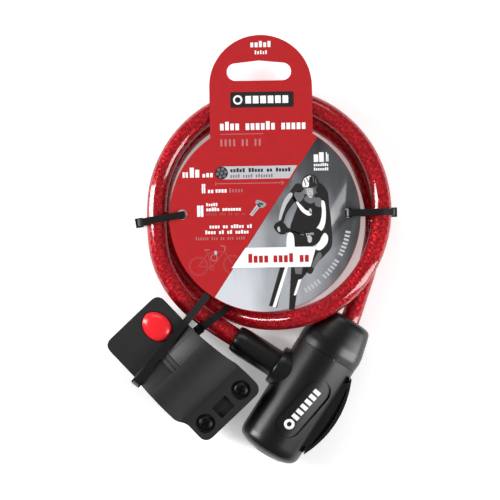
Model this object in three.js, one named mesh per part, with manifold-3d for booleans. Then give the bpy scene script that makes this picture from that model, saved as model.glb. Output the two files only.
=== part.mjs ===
// Bicycle cable lock in its retail pack: a coiled steel cable with a T-shaped key lock head,
// a frame bracket, two keys and a header card, tied together and lying flat on its back.
// Millimetres, +Z up. X runs across the card, Y runs up it towards the hang hole.
import * as THREE from 'three';
import { mergeVertices } from 'three/addons/utils/BufferGeometryUtils.js';
import Module from 'manifold-3d';

const wasm = await Module();
wasm.setup();

// ---------------------------------------------------------------- driving dimensions
const GAP = 0.3; // clearance between neighbouring pieces

const CABLE = { radius: 6, sides: 10, steps: 68, tailSteps: 7, tailLength: 72 };
const REAR = { x: 7.2, y: 24.9, radius: 67.2, z: 7.6 }; // lower turn of the coil
const FRONT = { x: 11.6, y: 24.7, radius: 68.6, z: 19.8 }; // upper turn of the coil
const CLIMB = { from: 240, crest: 302.6, settled: 390, crestZ: 28.4 }; // degrees round the coil
// the rear turn is tucked in under the front one between these angles, in degrees
const TUCK = { depth: 4.7, from: 20, settled: 75, until: 215, out: 275 };
const COIL = { from: 15, to: 540, step: 15 }; // degrees

// the cable's way out of the lock's end cap to the coil, and from the coil into the plug sleeve
const TAIL_POINTS = [
  [49.99, -64.2, 16], [52.7, -60, 16], [57.4, -51.5, 16], [61.4, -42.5, 15.8], [66.6, -27.4, 14],
  [71.4, -13.2, 11.6], [75, 0.2, 9.6], [76.9, 13.5, 8.3], [76.4, 27, 7.7],
];
const PLUG_POINTS = [
  [-54.8, -3.6, 20.3], [-48.4, -19, 20.8], [-38.3, -32.3, 20.4], [-23.5, -44, 17.9],
  [-9.4, -53.5, 16.07], [-1, -58.85, 16],
];

// lock head: local X across, local Y along it from the keyhole end, local Z up, zero on its axis
const LOCK = { x: 8.4, y: -124.2, z: 16, turn: -32.42, half: 20, flat: 0.77, seam: 71.6, top: 97.4 };
const PORT = { along: 50.1, tip: -23.3, radius: 12.2, pocket: 9.2, pocketEnd: -19.2, bore: 6.3 };
const BOLT = { radius: 4.5, from: -30, to: -2, grooveRadius: 3.1, grooveFrom: -7.9, grooveTo: -4.1 };
const SLEEVE = { radius: 8.85, mouthRadius: 7.6, from: -52.9, to: -19.6, cableTo: -36, boltFrom: -30.3 };
const ROTOR = { radius: 6.6, from: 0.9, to: 36.3, pitch: 4.2, firstWafer: 9, wafers: 5 };
const LATCH = { from: -7.2, to: -4.8, notch: 3.3, low: -8.1, high: -3.6, open: 2.6 };
const LABEL = { along: 36.8, across: 4.6, turn: -9, length: 42, width: 15.8, depth: 1.2 };
const TONGUE = { from: 12.9, to: 67.2, bulge: 27.1, ends: 21.2, rim: 2.1, half: 8 };

// frame bracket: local X along it from the button end, local Y across, local Z up from the ground
const BRACKET = { x: -70.6, y: -42.9, turn: -46.4, start: -1.6, length: 83.8, half: 22.4, face: 33, sheet: 3 };
const FLANGE = { low: -19, high: 28, flare: 69 };
const SADDLE = { from: 24.5, to: 63.8, crown: 41.5, bore: 16.3, axisX: 44.15, axisZ: 22.8, split: 1.2 };
const JAW = { radius: 19.4, ear: 4.2 };
const SCREWS = { x: 74.8, y: 4, apart: 29.3, recess: 6, head: 4.25, shank: 2, foot: 8.6 };
const BUTTON = { x: 12.4, y: 8.3, long: 9.8, wide: 7.9, proud: 3.2 };

// header card: a rounded tab over a disc, turned a little
const CARD = { low: 26.2, high: 27, turn: 1, discX: 9.1, discY: 20.3, disc: 58 };
const TAB = { half: 31.15, centreX: -1.3, top: 110.1, foot: 34 };
const HANG_HOLE = { half: 14.1, x: -2.2, y: 87.8, end: 5.4, peak: 12.2 };
const TIE_HOLE = 3.1;

const STRAP = { thick: 1.2, corner: 1.6, low: 0.3 };

// ---------------------------------------------------------------- materials
function finish(color, roughness, metalness = 0) {
  return new THREE.MeshStandardMaterial({ color, roughness, metalness });
}
const MATERIAL = {
  blackPlastic: finish(0x1c1c1e, 0.42),
  bracketPlastic: finish(0x222223, 0.55),
  redButton: finish(0xe8252e, 0.3),
  sheath: finish(0xb01822, 0.25),
  steel: finish(0xb8babd, 0.3, 1),
  blackSteel: finish(0x2a2a2c, 0.4, 0.8),
  brass: finish(0xc9a24a, 0.35, 1),
  rubber: finish(0x1a1a1a, 0.85),
  cardBoard: finish(0xba1b20, 0.5),
  nylon: finish(0x141414, 0.4),
};

// ---------------------------------------------------------------- solids
function isThin(a, b, c) {
  return a === b || b === c || a === c;
}

function signedVolume(places, corners) {
  const [a, b, c] = [new THREE.Vector3(), new THREE.Vector3(), new THREE.Vector3()];
  let sum = 0;
  for (let i = 0; i < corners.length; i += 3) {
    a.fromArray(places, 3 * corners[i]);
    b.fromArray(places, 3 * corners[i + 1]);
    c.fromArray(places, 3 * corners[i + 2]);
    sum += a.dot(b.cross(c));
  }
  return sum;
}

function solid(geometry) {
  geometry.deleteAttribute('normal');
  geometry.deleteAttribute('uv');
  const merged = mergeVertices(geometry, 1e-4);
  const places = Float32Array.from(merged.attributes.position.array);
  const corners = [];
  for (let i = 0; i < merged.index.count; i += 3) {
    const [a, b, c] = [merged.index.getX(i), merged.index.getX(i + 1), merged.index.getX(i + 2)];
    if (!isThin(a, b, c)) corners.push(a, b, c);
  }
  if (signedVolume(places, corners) < 0) corners.reverse();
  const mesh = { numProp: 3, vertProperties: places, triVerts: Uint32Array.from(corners) };
  return new wasm.Manifold(new wasm.Mesh(mesh));
}

function piece(name, body, material) {
  const { vertProperties, triVerts } = body.getMesh();
  const geometry = new THREE.BufferGeometry();
  geometry.setAttribute('position', new THREE.BufferAttribute(vertProperties, 3));
  geometry.setIndex(new THREE.BufferAttribute(triVerts, 1));
  geometry.computeVertexNormals();
  const mesh = new THREE.Mesh(geometry, material);
  mesh.name = name;
  return mesh;
}

function union(bodies) {
  return bodies.reduce((whole, body) => whole.add(body));
}

function block(x0, x1, y0, y1, z0, z1) {
  const geometry = new THREE.BoxGeometry(x1 - x0, y1 - y0, z1 - z0);
  geometry.translate((x0 + x1) / 2, (y0 + y1) / 2, (z0 + z1) / 2);
  return solid(geometry);
}

// a rod or a turned profile is made along Y, then turned to lie along the named axis
function along(geometry, axis) {
  if (axis === 'x') geometry.rotateZ(-Math.PI / 2);
  if (axis === 'z') geometry.rotateX(Math.PI / 2);
  return geometry;
}

function rod(radius, from, to, axis, [x, y, z] = [0, 0, 0], sides = 24) {
  const geometry = new THREE.CylinderGeometry(radius, radius, to - from, sides);
  geometry.translate(0, (from + to) / 2, 0);
  along(geometry, axis).translate(x, y, z);
  return solid(geometry);
}

function turned(profile, axis, [x, y, z] = [0, 0, 0], sides = 32, flat = 1) {
  const points = profile.map(([radius, place]) => new THREE.Vector2(radius, place));
  const geometry = along(new THREE.LatheGeometry(points, sides), axis);
  geometry.scale(1, 1, flat);
  geometry.translate(x, y, z);
  return solid(geometry);
}

function tube(outer, inner, from, to, axis, place, sides = 24) {
  return rod(outer, from, to, axis, place, sides).subtract(rod(inner, from - 1, to + 1, axis, place, sides));
}

function extruded(shape, low, high, curveSegments = 10) {
  const geometry = new THREE.ExtrudeGeometry(shape, { depth: high - low, bevelEnabled: false, curveSegments });
  geometry.translate(0, 0, low);
  return solid(geometry);
}

// outline with every corner rounded; a corner's third number is its own radius
function rounded(corners, radius) {
  const shape = new THREE.Shape();
  const at = (i) => new THREE.Vector2(...corners[(i + corners.length) % corners.length]);
  corners.forEach((corner, i) => {
    const here = at(i);
    const back = at(i - 1).sub(here);
    const on = at(i + 1).sub(here);
    const cut = Math.min(corner[2] ?? radius, 0.45 * back.length(), 0.45 * on.length());
    const before = here.clone().add(back.setLength(cut));
    const after = here.clone().add(on.setLength(cut));
    if (i === 0) shape.moveTo(before.x, before.y);
    else shape.lineTo(before.x, before.y);
    shape.quadraticCurveTo(here.x, here.y, after.x, after.y);
  });
  shape.closePath();
  return shape;
}

// ---------------------------------------------------------------- cable
function smooth(t) {
  const held = THREE.MathUtils.clamp(t, 0, 1);
  return held * held * (3 - 2 * held);
}

// height of the cable's centre: low turn, one climb over the lock's end cap, then the high turn
function coilHeight(degrees) {
  if (degrees <= CLIMB.crest) {
    const t = THREE.MathUtils.clamp((degrees - CLIMB.from) / (CLIMB.crest - CLIMB.from), 0, 1);
    const share = t < 0.5 ? 2 * t * t : 1 - 2 * (1 - t) ** 2;
    return REAR.z + (CLIMB.crestZ - REAR.z) * share;
  }
  const t = Math.min(1, (degrees - CLIMB.crest) / (CLIMB.settled - CLIMB.crest));
  return FRONT.z + ((CLIMB.crestZ - FRONT.z) * (1 + Math.cos(Math.PI * t))) / 2;
}

function coilPoint(degrees) {
  const share = smooth((degrees - 240) / 60);
  const tuck = smooth((degrees - TUCK.from) / (TUCK.settled - TUCK.from))
    * smooth((TUCK.out - degrees) / (TUCK.out - TUCK.until));
  const radius = THREE.MathUtils.lerp(REAR.radius, FRONT.radius, share) - TUCK.depth * tuck;
  const angle = THREE.MathUtils.degToRad(degrees);
  const x = THREE.MathUtils.lerp(REAR.x, FRONT.x, share) + radius * Math.cos(angle);
  const y = THREE.MathUtils.lerp(REAR.y, FRONT.y, share) + radius * Math.sin(angle);
  return [x, y, coilHeight(degrees)];
}

function cableRoute() {
  const points = [...TAIL_POINTS];
  for (let a = COIL.from; a <= COIL.to; a += COIL.step) points.push(coilPoint(a));
  points.push(...PLUG_POINTS);
  const route = new THREE.CatmullRomCurve3(points.map((p) => new THREE.Vector3(...p)), false, 'centripetal');
  route.arcLengthDivisions = 2000;
  return route;
}

function circle(radius, sides) {
  const shape = new THREE.Shape();
  for (let i = 0; i < sides; i += 1) {
    const angle = (2 * Math.PI * i) / sides;
    const [x, y] = [radius * Math.cos(angle), radius * Math.sin(angle)];
    if (i === 0) shape.moveTo(x, y);
    else shape.lineTo(x, y);
  }
  shape.closePath();
  return shape;
}

// tube of the cable between two lengths along its route
function cableStretch(from, to, steps, radius) {
  const route = cableRoute();
  const whole = route.getLength();
  const end = to ?? whole;
  const points = [];
  for (let i = 0; i <= 3 * steps; i += 1) {
    points.push(route.getPointAt((from + ((end - from) * i) / (3 * steps)) / whole));
  }
  const extrudePath = new THREE.CatmullRomCurve3(points);
  const shape = circle(radius, CABLE.sides);
  return solid(new THREE.ExtrudeGeometry(shape, { steps, extrudePath, bevelEnabled: false }));
}

// ---------------------------------------------------------------- lock head
function stadium(length, width) {
  const half = (length - width) / 2;
  const shape = new THREE.Shape();
  shape.moveTo(-half, -width / 2);
  shape.lineTo(half, -width / 2);
  shape.absarc(half, 0, width / 2, -Math.PI / 2, Math.PI / 2);
  shape.lineTo(-half, width / 2);
  shape.absarc(-half, 0, width / 2, Math.PI / 2, 1.5 * Math.PI);
  return shape;
}

function labelSolid(margin, low, high) {
  const shape = stadium(LABEL.length - 2 * margin, LABEL.width - 2 * margin);
  const place = [LABEL.across, LABEL.along, 0];
  return extruded(shape, low, high, 8).rotate([0, 0, 90 + LABEL.turn]).translate(place);
}

// the lock body's outside, taken in by the inset, without its boss
function bodySolid(inset) {
  const nominal = [[7, 0.3], [12.4, 1], [16.3, 2.5], [18.6, 4.2], [19.6, 6.2], [20, 9], [20, 45],
    [20.1, LOCK.seam - 0.15]];
  const side = nominal.map(([radius, along]) => [radius - inset, along]);
  return turned([[0, inset ? side[0][1] : 0], ...side, [0, LOCK.seam - 0.15]], 'y', [0, 0, 0], 36, LOCK.flat);
}

function lockBodyShell() {
  const boss = [[0, PORT.tip], [PORT.radius - 0.6, PORT.tip], [PORT.radius, PORT.tip + 0.7],
    [12.6, -20], [12.6, -4], [0, -4]];
  const shell = bodySolid(0).add(turned(boss, 'x', [0, PORT.along, 0], 32, 0.93));
  const port = [0, PORT.along, 0];
  return [
    turned([[0, -1], [12.1, -1], [12.1, 3.3], [0, 3.3]], 'y', [0, 0, 0], 32, LOCK.flat),
    rod(10.6, 3, 38.1, 'y'),
    block(-12.5, 12.5, 38, LOCK.seam + 1, -10.5, 10.5),
    rod(PORT.pocket, PORT.tip - 1, PORT.pocketEnd, 'x', port),
    rod(PORT.bore, PORT.tip, -12, 'x', port),
    block(16.4, 22, 35.7, 46.3, -4.3, 4.3),
    labelSolid(0, 6, 20).subtract(bodySolid(LABEL.depth)),
  ].reduce((whole, cut) => whole.subtract(cut), shell);
}

function lockEndCap() {
  const outer = [[0, LOCK.seam + 0.15], [20.1, LOCK.seam + 0.15], [20.4, 76], [19.9, 80.6], [18, 88],
    [16.4, 93.6], [15.5, 95.8], [13.4, 97], [10, LOCK.top], [0, LOCK.top]];
  const hollow = [[0, 71], [16.5, 71], [16.5, 79], [11.5, 92], [0, 92]];
  return turned(outer, 'y', [0, 0, 0], 36, LOCK.flat).subtract(turned(hollow, 'y', [0, 0, 0], 24, 0.7));
}

function keyRotor() {
  const body = rod(ROTOR.radius, ROTOR.from, ROTOR.to, 'y', [0, 0, 0], 28);
  const keyway = block(-1.3, 1.3, 0, 31, -4.6, 3.6);
  return waferPlaces().reduce((whole, y) => whole.subtract(block(-3.6, 3.6, y - 0.75, y + 0.75, -5.2, 5.2)),
    body.subtract(keyway));
}

function waferPlaces() {
  return Array.from({ length: ROTOR.wafers }, (_, i) => ROTOR.firstWafer + ROTOR.pitch * i);
}

function wafers() {
  return waferPlaces().map((y, i) => {
    const drop = 0.3 * ((i % 3) - 1);
    const plate = block(-3.2, 3.2, y - 0.4, y + 0.4, -4.5 + drop, 4.5 + drop)
      .subtract(block(-1.7, 1.7, y - 1, y + 1, -3.4 + drop, 3 + drop));
    return piece(`rotor_wafer_${i + 1}`, plate, MATERIAL.steel);
  });
}

function rotorCam() {
  return rod(6.2, ROTOR.to + GAP, 38.2, 'y').add(rod(1.2, 38, 41.6, 'y', [0, 0, -2.9], 16));
}

function latchGuide() {
  const port = [0, PORT.along, 0];
  return block(-11.8, -7.6, 42.3, 58.4, -9.8, 9.8)
    .add(block(-4.4, 2, 42.3, 58.4, -9.8, 9.8))
    .add(block(-11.8, 2, 42.3, 58.4, 5.4, 9.8))
    .subtract(rod(5, -13, 3, 'x', port));
}

// the latch stands open, dropped clear of the bolt; raised, its notch closes on the bolt's groove
function latchPlate() {
  const plate = block(LATCH.from, LATCH.to, 41.7, 58.2, LATCH.low, LATCH.high);
  const arm = block(LATCH.from, 4.2, 38.7, 41.9, LATCH.low, -4.7);
  return plate.add(arm).subtract(rod(LATCH.notch, -9, -3, 'x', [0, PORT.along, -LATCH.open]));
}

// round-wire compression spring standing along Z between two heights
function standingSpring(radius, wire, low, high, turns, [x, y]) {
  const points = [];
  const count = turns * 10;
  for (let i = 0; i <= count; i += 1) {
    const angle = (2 * Math.PI * i) / 10;
    const z = THREE.MathUtils.lerp(low + wire, high - wire, i / count);
    points.push(new THREE.Vector3(x + radius * Math.cos(angle), y + radius * Math.sin(angle), z));
  }
  const extrudePath = new THREE.CatmullRomCurve3(points);
  const shape = circle(wire, 6);
  return solid(new THREE.ExtrudeGeometry(shape, { steps: count, extrudePath, bevelEnabled: false }));
}

function cableAnchor() {
  const place = [3, 0, 0];
  return rod(8, 67.5, 84, 'y', place).subtract(rod(6.35, 71.9, 85, 'y', place))
    .subtract(rod(1.8, -12, 12, 'z', [3, 69.5, 0], 16));
}

function mountTongue() {
  const middle = (TONGUE.from + TONGUE.to) / 2;
  const rim = new THREE.Shape();
  rim.moveTo(TONGUE.ends - 0.6, TONGUE.from);
  rim.quadraticCurveTo(2 * TONGUE.bulge - TONGUE.ends, middle, TONGUE.ends - 0.6, TONGUE.to);
  rim.lineTo(TONGUE.ends - 0.6, TONGUE.to - 4);
  const pull = 2 * (TONGUE.bulge - TONGUE.rim) - TONGUE.ends;
  rim.quadraticCurveTo(pull, middle, TONGUE.ends - 0.6, TONGUE.from + 4);
  rim.closePath();
  const bow = new THREE.Shape();
  bow.moveTo(TONGUE.ends - 0.6, TONGUE.from);
  bow.quadraticCurveTo(2 * TONGUE.bulge - TONGUE.ends, middle, TONGUE.ends - 0.6, TONGUE.to);
  bow.lineTo(16, TONGUE.to - 4);
  bow.lineTo(16, TONGUE.from + 4);
  bow.closePath();
  const floor = extruded(bow, -TONGUE.half, -1, 14).subtract(bodySolid(-GAP));
  return extruded(rim, -TONGUE.half, TONGUE.half, 14).add(floor).add(block(16.8, 25.6, 36, 46, -4, 4));
}

function plugBolt() {
  const { radius, from, to, grooveRadius, grooveFrom, grooveTo } = BOLT;
  const profile = [[0, from], [radius, from], [radius, grooveFrom], [grooveRadius, grooveFrom + 0.6],
    [grooveRadius, grooveTo - 0.6], [radius, grooveTo], [radius, to - 1.6], [radius - 2, to], [0, to]];
  return turned(profile, 'x', [0, PORT.along, 0], 20);
}

function plugSleeve() {
  const { radius, mouthRadius, from, to, cableTo, boltFrom } = SLEEVE;
  const outer = [[0, from], [mouthRadius, from], [radius, from + 5.5], [radius, to - 0.8],
    [radius - 0.8, to], [0, to]];
  const place = [0, PORT.along, 0];
  return turned(outer, 'x', place, 28)
    .subtract(rod(CABLE.radius + GAP, from - 1, cableTo, 'x', place))
    .subtract(rod(BOLT.radius + GAP, boltFrom, to + 1, 'x', place));
}

function lockFrame() {
  const frame = new THREE.Group();
  frame.position.set(LOCK.x, LOCK.y, LOCK.z);
  frame.rotation.z = THREE.MathUtils.degToRad(LOCK.turn);
  return frame;
}

function inLockFrame(body) {
  return body.translate([-LOCK.x, -LOCK.y, -LOCK.z]).rotate([0, 0, -LOCK.turn]);
}

function lockHead() {
  const head = lockFrame();
  const cableHole = inLockFrame(cableStretch(0, CABLE.tailLength, CABLE.tailSteps, CABLE.radius + 0.4));
  const bezel = turned([[0, 0.3], [11, 0.3], [11.8, 1.1], [11.8, 3], [0, 3]], 'y', [0, 0, 0], 32, LOCK.flat)
    .subtract(rod(6.9, -1, 4, 'y'));
  const badge = labelSolid(0.5, 6, 20).intersect(bodySolid(0.2)).subtract(bodySolid(LABEL.depth - GAP));
  const tip = [0, PORT.along, 0];
  head.add(
    piece('lock_body_shell', lockBodyShell(), MATERIAL.blackPlastic),
    piece('lock_end_cap', lockEndCap().subtract(cableHole), MATERIAL.blackPlastic),
    piece('label_badge', badge, MATERIAL.rubber),
    piece('keyhole_bezel', bezel, MATERIAL.steel),
    piece('cylinder_housing', tube(10.3, 6.9, 3.3, 36, 'y'), MATERIAL.brass),
    piece('key_rotor', keyRotor(), MATERIAL.brass),
    ...wafers(),
    piece('rotor_cam', rotorCam(), MATERIAL.steel),
    piece('latch_guide', latchGuide(), MATERIAL.blackPlastic),
    piece('latch_plate', latchPlate(), MATERIAL.steel),
    piece('latch_spring', standingSpring(1.1, 0.2, -10.3, -8.4, 3, [-6, 53.5]), MATERIAL.steel),
    piece('port_liner', tube(6, 4.9, -18.9, -12.2, 'x', tip), MATERIAL.steel),
    piece('cable_anchor', cableAnchor(), MATERIAL.steel),
    piece('anchor_pin', rod(1.5, -9.6, 9.6, 'z', [3, 69.5, 0], 16), MATERIAL.steel),
    piece('mount_tongue', mountTongue(), MATERIAL.blackPlastic),
  );
  return head;
}

function plug() {
  const frame = lockFrame();
  frame.add(
    piece('plug_sleeve', plugSleeve(), MATERIAL.blackPlastic),
    piece('plug_bolt', plugBolt(), MATERIAL.steel),
  );
  return frame;
}

// ---------------------------------------------------------------- frame bracket
function screwPlaces() {
  return [-1, 1].map((side) => [SCREWS.x, SCREWS.y + (side * SCREWS.apart) / 2]);
}

function bracketPlan() {
  const { start, length, half } = BRACKET;
  return rounded([[start, -half], [62, -half, 3], [67, FLANGE.low, 3], [length, FLANGE.low],
    [length, FLANGE.high], [FLANGE.flare, FLANGE.high, 8], [SADDLE.from + 2, half, 3], [start, half]], 6);
}

// section of the front half in the X-Z plane, with the saddle's arc over the frame tube's bore
function frontSection() {
  const { face, sheet } = BRACKET;
  const { from, to, crown, bore, axisX, axisZ, split } = SADDLE;
  const halfWidth = (to - from) / 2;
  const rise = crown - face;
  const arc = (halfWidth ** 2 + rise ** 2) / (2 * rise);
  const sweep = Math.asin(halfWidth / arc);
  const low = axisZ + split;
  const boreAngle = Math.asin(split / bore);
  const shape = new THREE.Shape();
  shape.moveTo(BRACKET.start - 1, face - sheet);
  shape.lineTo(from - 0.6, face - sheet);
  shape.lineTo(from - 0.6, low);
  shape.lineTo(axisX - bore * Math.cos(boreAngle), low);
  shape.absarc(axisX, axisZ, bore, Math.PI - boreAngle, boreAngle, true);
  shape.lineTo(to + 0.7, low);
  shape.lineTo(to + 0.7, face - 6);
  shape.lineTo(BRACKET.length + 1, face - 6);
  shape.lineTo(BRACKET.length + 1, face);
  shape.lineTo(to, face);
  shape.absarc(axisX, crown - arc, arc, Math.PI / 2 - sweep, Math.PI / 2 + sweep, false);
  shape.lineTo(BRACKET.start - 1, face);
  shape.closePath();
  return shape;
}

// a section drawn in the X-Z plane and drawn out along Y
function drawnOut(shape, from, to, curveSegments) {
  return extruded(shape, -to, -from, curveSegments).rotate([90, 0, 0]);
}

function buttonHole(margin, low, high) {
  const geometry = new THREE.CylinderGeometry(1, 1, high - low, 32);
  along(geometry, 'z').scale(BUTTON.long + margin, BUTTON.wide + margin, 1);
  geometry.translate(BUTTON.x, BUTTON.y, (low + high) / 2);
  return solid(geometry);
}

function bracketFront() {
  const whole = extruded(bracketPlan(), 10, 50, 5).intersect(drawnOut(frontSection(), -30, 30, 14));
  const { face } = BRACKET;
  const drilled = screwPlaces().reduce((body, [x, y]) => body
    .subtract(rod(SCREWS.recess, face - 3.4, face + 1, 'z', [x, y, 0], 28))
    .subtract(rod(SCREWS.shank + GAP, face - 8, face, 'z', [x, y, 0], 16)), whole);
  return drilled.subtract(block(70.6, 79.6, -1.5, 9.5, face - 4, face + 1))
    .subtract(buttonHole(0.4, face - 5, face + 1));
}

function rearJaw() {
  const { axisX, axisZ, bore } = SADDLE;
  const low = axisZ - 0.4;
  const shape = new THREE.Shape();
  shape.moveTo(axisX - JAW.radius, low);
  shape.absarc(axisX, axisZ, JAW.radius, Math.PI + 0.02, 2 * Math.PI - 0.5, false);
  shape.lineTo(81.6, axisZ - 9.3);
  shape.lineTo(81.6, axisZ - 9.3 + JAW.ear);
  shape.lineTo(axisX + JAW.radius, axisZ - 9.3 + JAW.ear);
  shape.lineTo(axisX + JAW.radius, low);
  shape.lineTo(axisX + bore, low);
  shape.absarc(axisX, axisZ, bore, -0.025, -Math.PI + 0.025, true);
  shape.closePath();
  const jaw = drawnOut(shape, -18, 24.6, 12).subtract(block(10, 68.5, 20.8, 30, 0, 40));
  return screwPlaces().reduce((body, [x, y]) => body
    .subtract(rod(SCREWS.shank + 0.4, 5, 30, 'z', [x, y, 0], 16))
    .subtract(rod(4.1, axisZ - 10, axisZ - 7.2, 'z', [x, y, 0], 6)), jaw);
}

function tubePad(radius, from, to, low, high) {
  const pad = new THREE.Shape();
  pad.absarc(SADDLE.axisX, SADDLE.axisZ, radius, from, to, false);
  pad.absarc(SADDLE.axisX, SADDLE.axisZ, radius - 2, to, from, true);
  pad.closePath();
  return drawnOut(pad, low, high, 16);
}

function clampScrew([x, y]) {
  const { face } = BRACKET;
  const { head, shank, foot } = SCREWS;
  const profile = [[0, foot], [shank - 0.4, foot], [shank, foot + 0.6], [shank, face - 3.1], [head, face - 3.1],
    [head, face - 1.4], [head - 1.4, face - 0.4], [0, face - 0.4]];
  const cross = block(x - 0.55, x + 0.55, y - 2.4, y + 2.4, face - 2.2, face)
    .add(block(x - 2.4, x + 2.4, y - 0.55, y + 0.55, face - 2.2, face));
  return turned(profile, 'z', [x, y, 0], 20).subtract(cross);
}

function clampNut([x, y]) {
  const low = SADDLE.axisZ - 10.3;
  return rod(3.8, low, low + 2.8, 'z', [x, y, 0], 6)
    .subtract(rod(SCREWS.shank + GAP, low - 1, low + 4, 'z', [x, y, 0], 16));
}

function tongueReceiver() {
  return block(1, 23.2, -20, 20, 16.5, 29.7)
    .subtract(block(3.6, 20.6, -21, 1, 20.5, 25))
    .subtract(block(8.9, 15.3, -21, 1, 15, 21))
    .subtract(block(3.4, 21.4, 1.6, 17.6, 19, 31))
    .subtract(block(8.6, 16.2, -1.4, 3, 19.6, 28))
    .subtract(buttonHole(0.4, 26.5, 31));
}

function releaseButton() {
  const { long, wide, proud } = BUTTON;
  const profile = [[0, 30.1], [1, 30.1], [1, 33.4], [0.93, 34.5], [0.72, 35.5], [0.4, 36], [0, 33 + proud]];
  const points = profile.map(([radius, z]) => new THREE.Vector2(radius, z));
  const cap = along(new THREE.LatheGeometry(points, 36), 'z').scale(long, wide, 1);
  cap.translate(BUTTON.x, BUTTON.y, 0);
  const stem = rod(1.8, 27, 30.5, 'z', [BUTTON.x, BUTTON.y, 0], 16);
  return solid(cap).intersect(block(-5, 30, -10, 25, 29, 40)).add(stem);
}

function releaseCatch() {
  const { x, y } = BUTTON;
  return block(x - 5, x + 5, y - 4, y + 5, 24.6, 26.7).add(block(x - 3, x + 3, -0.8, y - 3, 24.6, 26.7))
    .add(block(x - 3, x + 3, -0.8, 0.7, 22.6, 26.7));
}

function bracket() {
  const frame = new THREE.Group();
  frame.position.set(BRACKET.x, BRACKET.y, 0);
  frame.rotation.z = THREE.MathUtils.degToRad(BRACKET.turn);
  const [first, second] = screwPlaces();
  const bore = SADDLE.bore - GAP;
  frame.add(
    piece('bracket_front', bracketFront(), MATERIAL.bracketPlastic),
    piece('bracket_rear_jaw', rearJaw(), MATERIAL.bracketPlastic),
    piece('tube_pad_front', tubePad(bore, 0.14, Math.PI - 0.14, -20, 20), MATERIAL.rubber),
    piece('tube_pad_rear', tubePad(bore, Math.PI + 0.1, 2 * Math.PI - 0.1, -17, 19.8), MATERIAL.rubber),
    piece('clamp_screw_1', clampScrew(first), MATERIAL.blackSteel),
    piece('clamp_screw_2', clampScrew(second), MATERIAL.blackSteel),
    piece('clamp_nut_1', clampNut(first), MATERIAL.steel),
    piece('clamp_nut_2', clampNut(second), MATERIAL.steel),
    piece('tongue_receiver', tongueReceiver(), MATERIAL.bracketPlastic),
    piece('release_button', releaseButton(), MATERIAL.redButton),
    piece('button_spring', standingSpring(3, 0.4, 19.2, 24.4, 3, [BUTTON.x, BUTTON.y]), MATERIAL.steel),
    piece('release_catch', releaseCatch(), MATERIAL.steel),
  );
  return frame;
}

// ---------------------------------------------------------------- header card
function card() {
  const { low, high, disc } = CARD;
  const tab = new THREE.Shape();
  tab.moveTo(TAB.centreX - TAB.half, TAB.foot);
  tab.lineTo(TAB.centreX + TAB.half, TAB.foot);
  tab.lineTo(TAB.centreX + TAB.half, TAB.top - TAB.half);
  tab.absarc(TAB.centreX, TAB.top - TAB.half, TAB.half, 0, Math.PI);
  tab.closePath();
  const { half, x, y, end, peak } = HANG_HOLE;
  const hang = new THREE.Shape();
  hang.moveTo(x - half, y - end);
  hang.lineTo(x + half, y - end);
  hang.absarc(x + half, y, end, -Math.PI / 2, 1.3);
  hang.lineTo(x, y + peak - end);
  hang.lineTo(x - half + end * Math.cos(1.84), y + end * Math.sin(1.84));
  hang.absarc(x - half, y, end, 1.84, 1.5 * Math.PI);
  const round = new THREE.Shape();
  round.absarc(0, 0, disc, 0, 2 * Math.PI);
  const holes = [[-50.2, 2], [50.7, 1.4]];
  const cut = holes.map(([hx, hy]) => rod(TIE_HOLE, low - 1, high + 1, 'z', [hx, hy, 0], 20));
  const sheet = extruded(tab, low, high, 20).add(extruded(round, low, high, 48))
    .subtract(extruded(hang, low - 1, high + 1, 8));
  const board = sheet.subtract(union(cut)).rotate([0, 0, CARD.turn]).translate([CARD.discX, CARD.discY, 0]);
  return piece('card', board, MATERIAL.cardBoard);
}

// ---------------------------------------------------------------- cable ties
// loop of strap in an upright plane: corners are (distance along the heading, height)
function strapLoop(corners, width) {
  const grown = corners.map((corner, i) => {
    const before = new THREE.Vector2(...corners[(i + corners.length - 1) % corners.length]);
    const here = new THREE.Vector2(...corner);
    const after = new THREE.Vector2(...corners[(i + 1) % corners.length]);
    const first = here.clone().sub(before).normalize();
    const second = after.clone().sub(here).normalize();
    const normal = new THREE.Vector2(first.y + second.y, -first.x - second.x).normalize();
    const reach = STRAP.thick / (normal.x * first.y - normal.y * first.x);
    return [here.x + normal.x * reach, here.y + normal.y * reach];
  });
  const outer = drawnOut(rounded(grown, STRAP.corner + STRAP.thick), -width / 2, width / 2, 4);
  const inner = drawnOut(rounded(corners, STRAP.corner), -width, width, 4);
  return outer.subtract(inner);
}

function tie(name, [x, y], heading, corners, width, [headX, headZ, tall]) {
  const side = width / 2 + 0.9;
  const head = block(headX, headX + 4.4, -side, side, headZ, headZ + tall);
  const loop = strapLoop(corners, width).add(head);
  return piece(name, loop.rotate([0, 0, heading]).translate([x, y, 0]), MATERIAL.nylon);
}

function ties() {
  const low = STRAP.low + STRAP.thick;
  const leftLoop = [[-0.6, low], [26.2, low], [26.2, 26.4], [10, CARD.high + 0.3], [-0.6, CARD.high + 0.3]];
  const rightLoop = [[-0.6, low], [27.1, low], [27.1, 26.4], [21, 28.9], [13, 28.9], [-0.6, CARD.high + 0.3]];
  const bracketLoop = [[-3, low], [72.6, low], [72.6, 35.6], [70, 39.3], [25.4, 33.9], [3.6, 24.6], [-3, 22]];
  const cableLoop = [[-9.6, low], [19.6, low], [19.6, 22.8], [16.6, 25], [8, 25], [-9.6, 15.5]];
  const tieGroup = new THREE.Group();
  tieGroup.add(
    tie('tie_left', [-41.1, 21.4], 190, leftLoop, 4, [25.2, 8, 6]),
    tie('tie_right', [59.8, 22.6], 1.3, rightLoop, 4, [26.1, 8, 6]),
    tie('tie_bracket', [-23, -24], 230.9, bracketLoop, 4.4, [70.7, 12, 7]),
    tie('tie_cable', [-15.2, -36.4], 217.8, cableLoop, 4.2, [18.6, 7, 6]),
  );
  return tieGroup;
}

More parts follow.
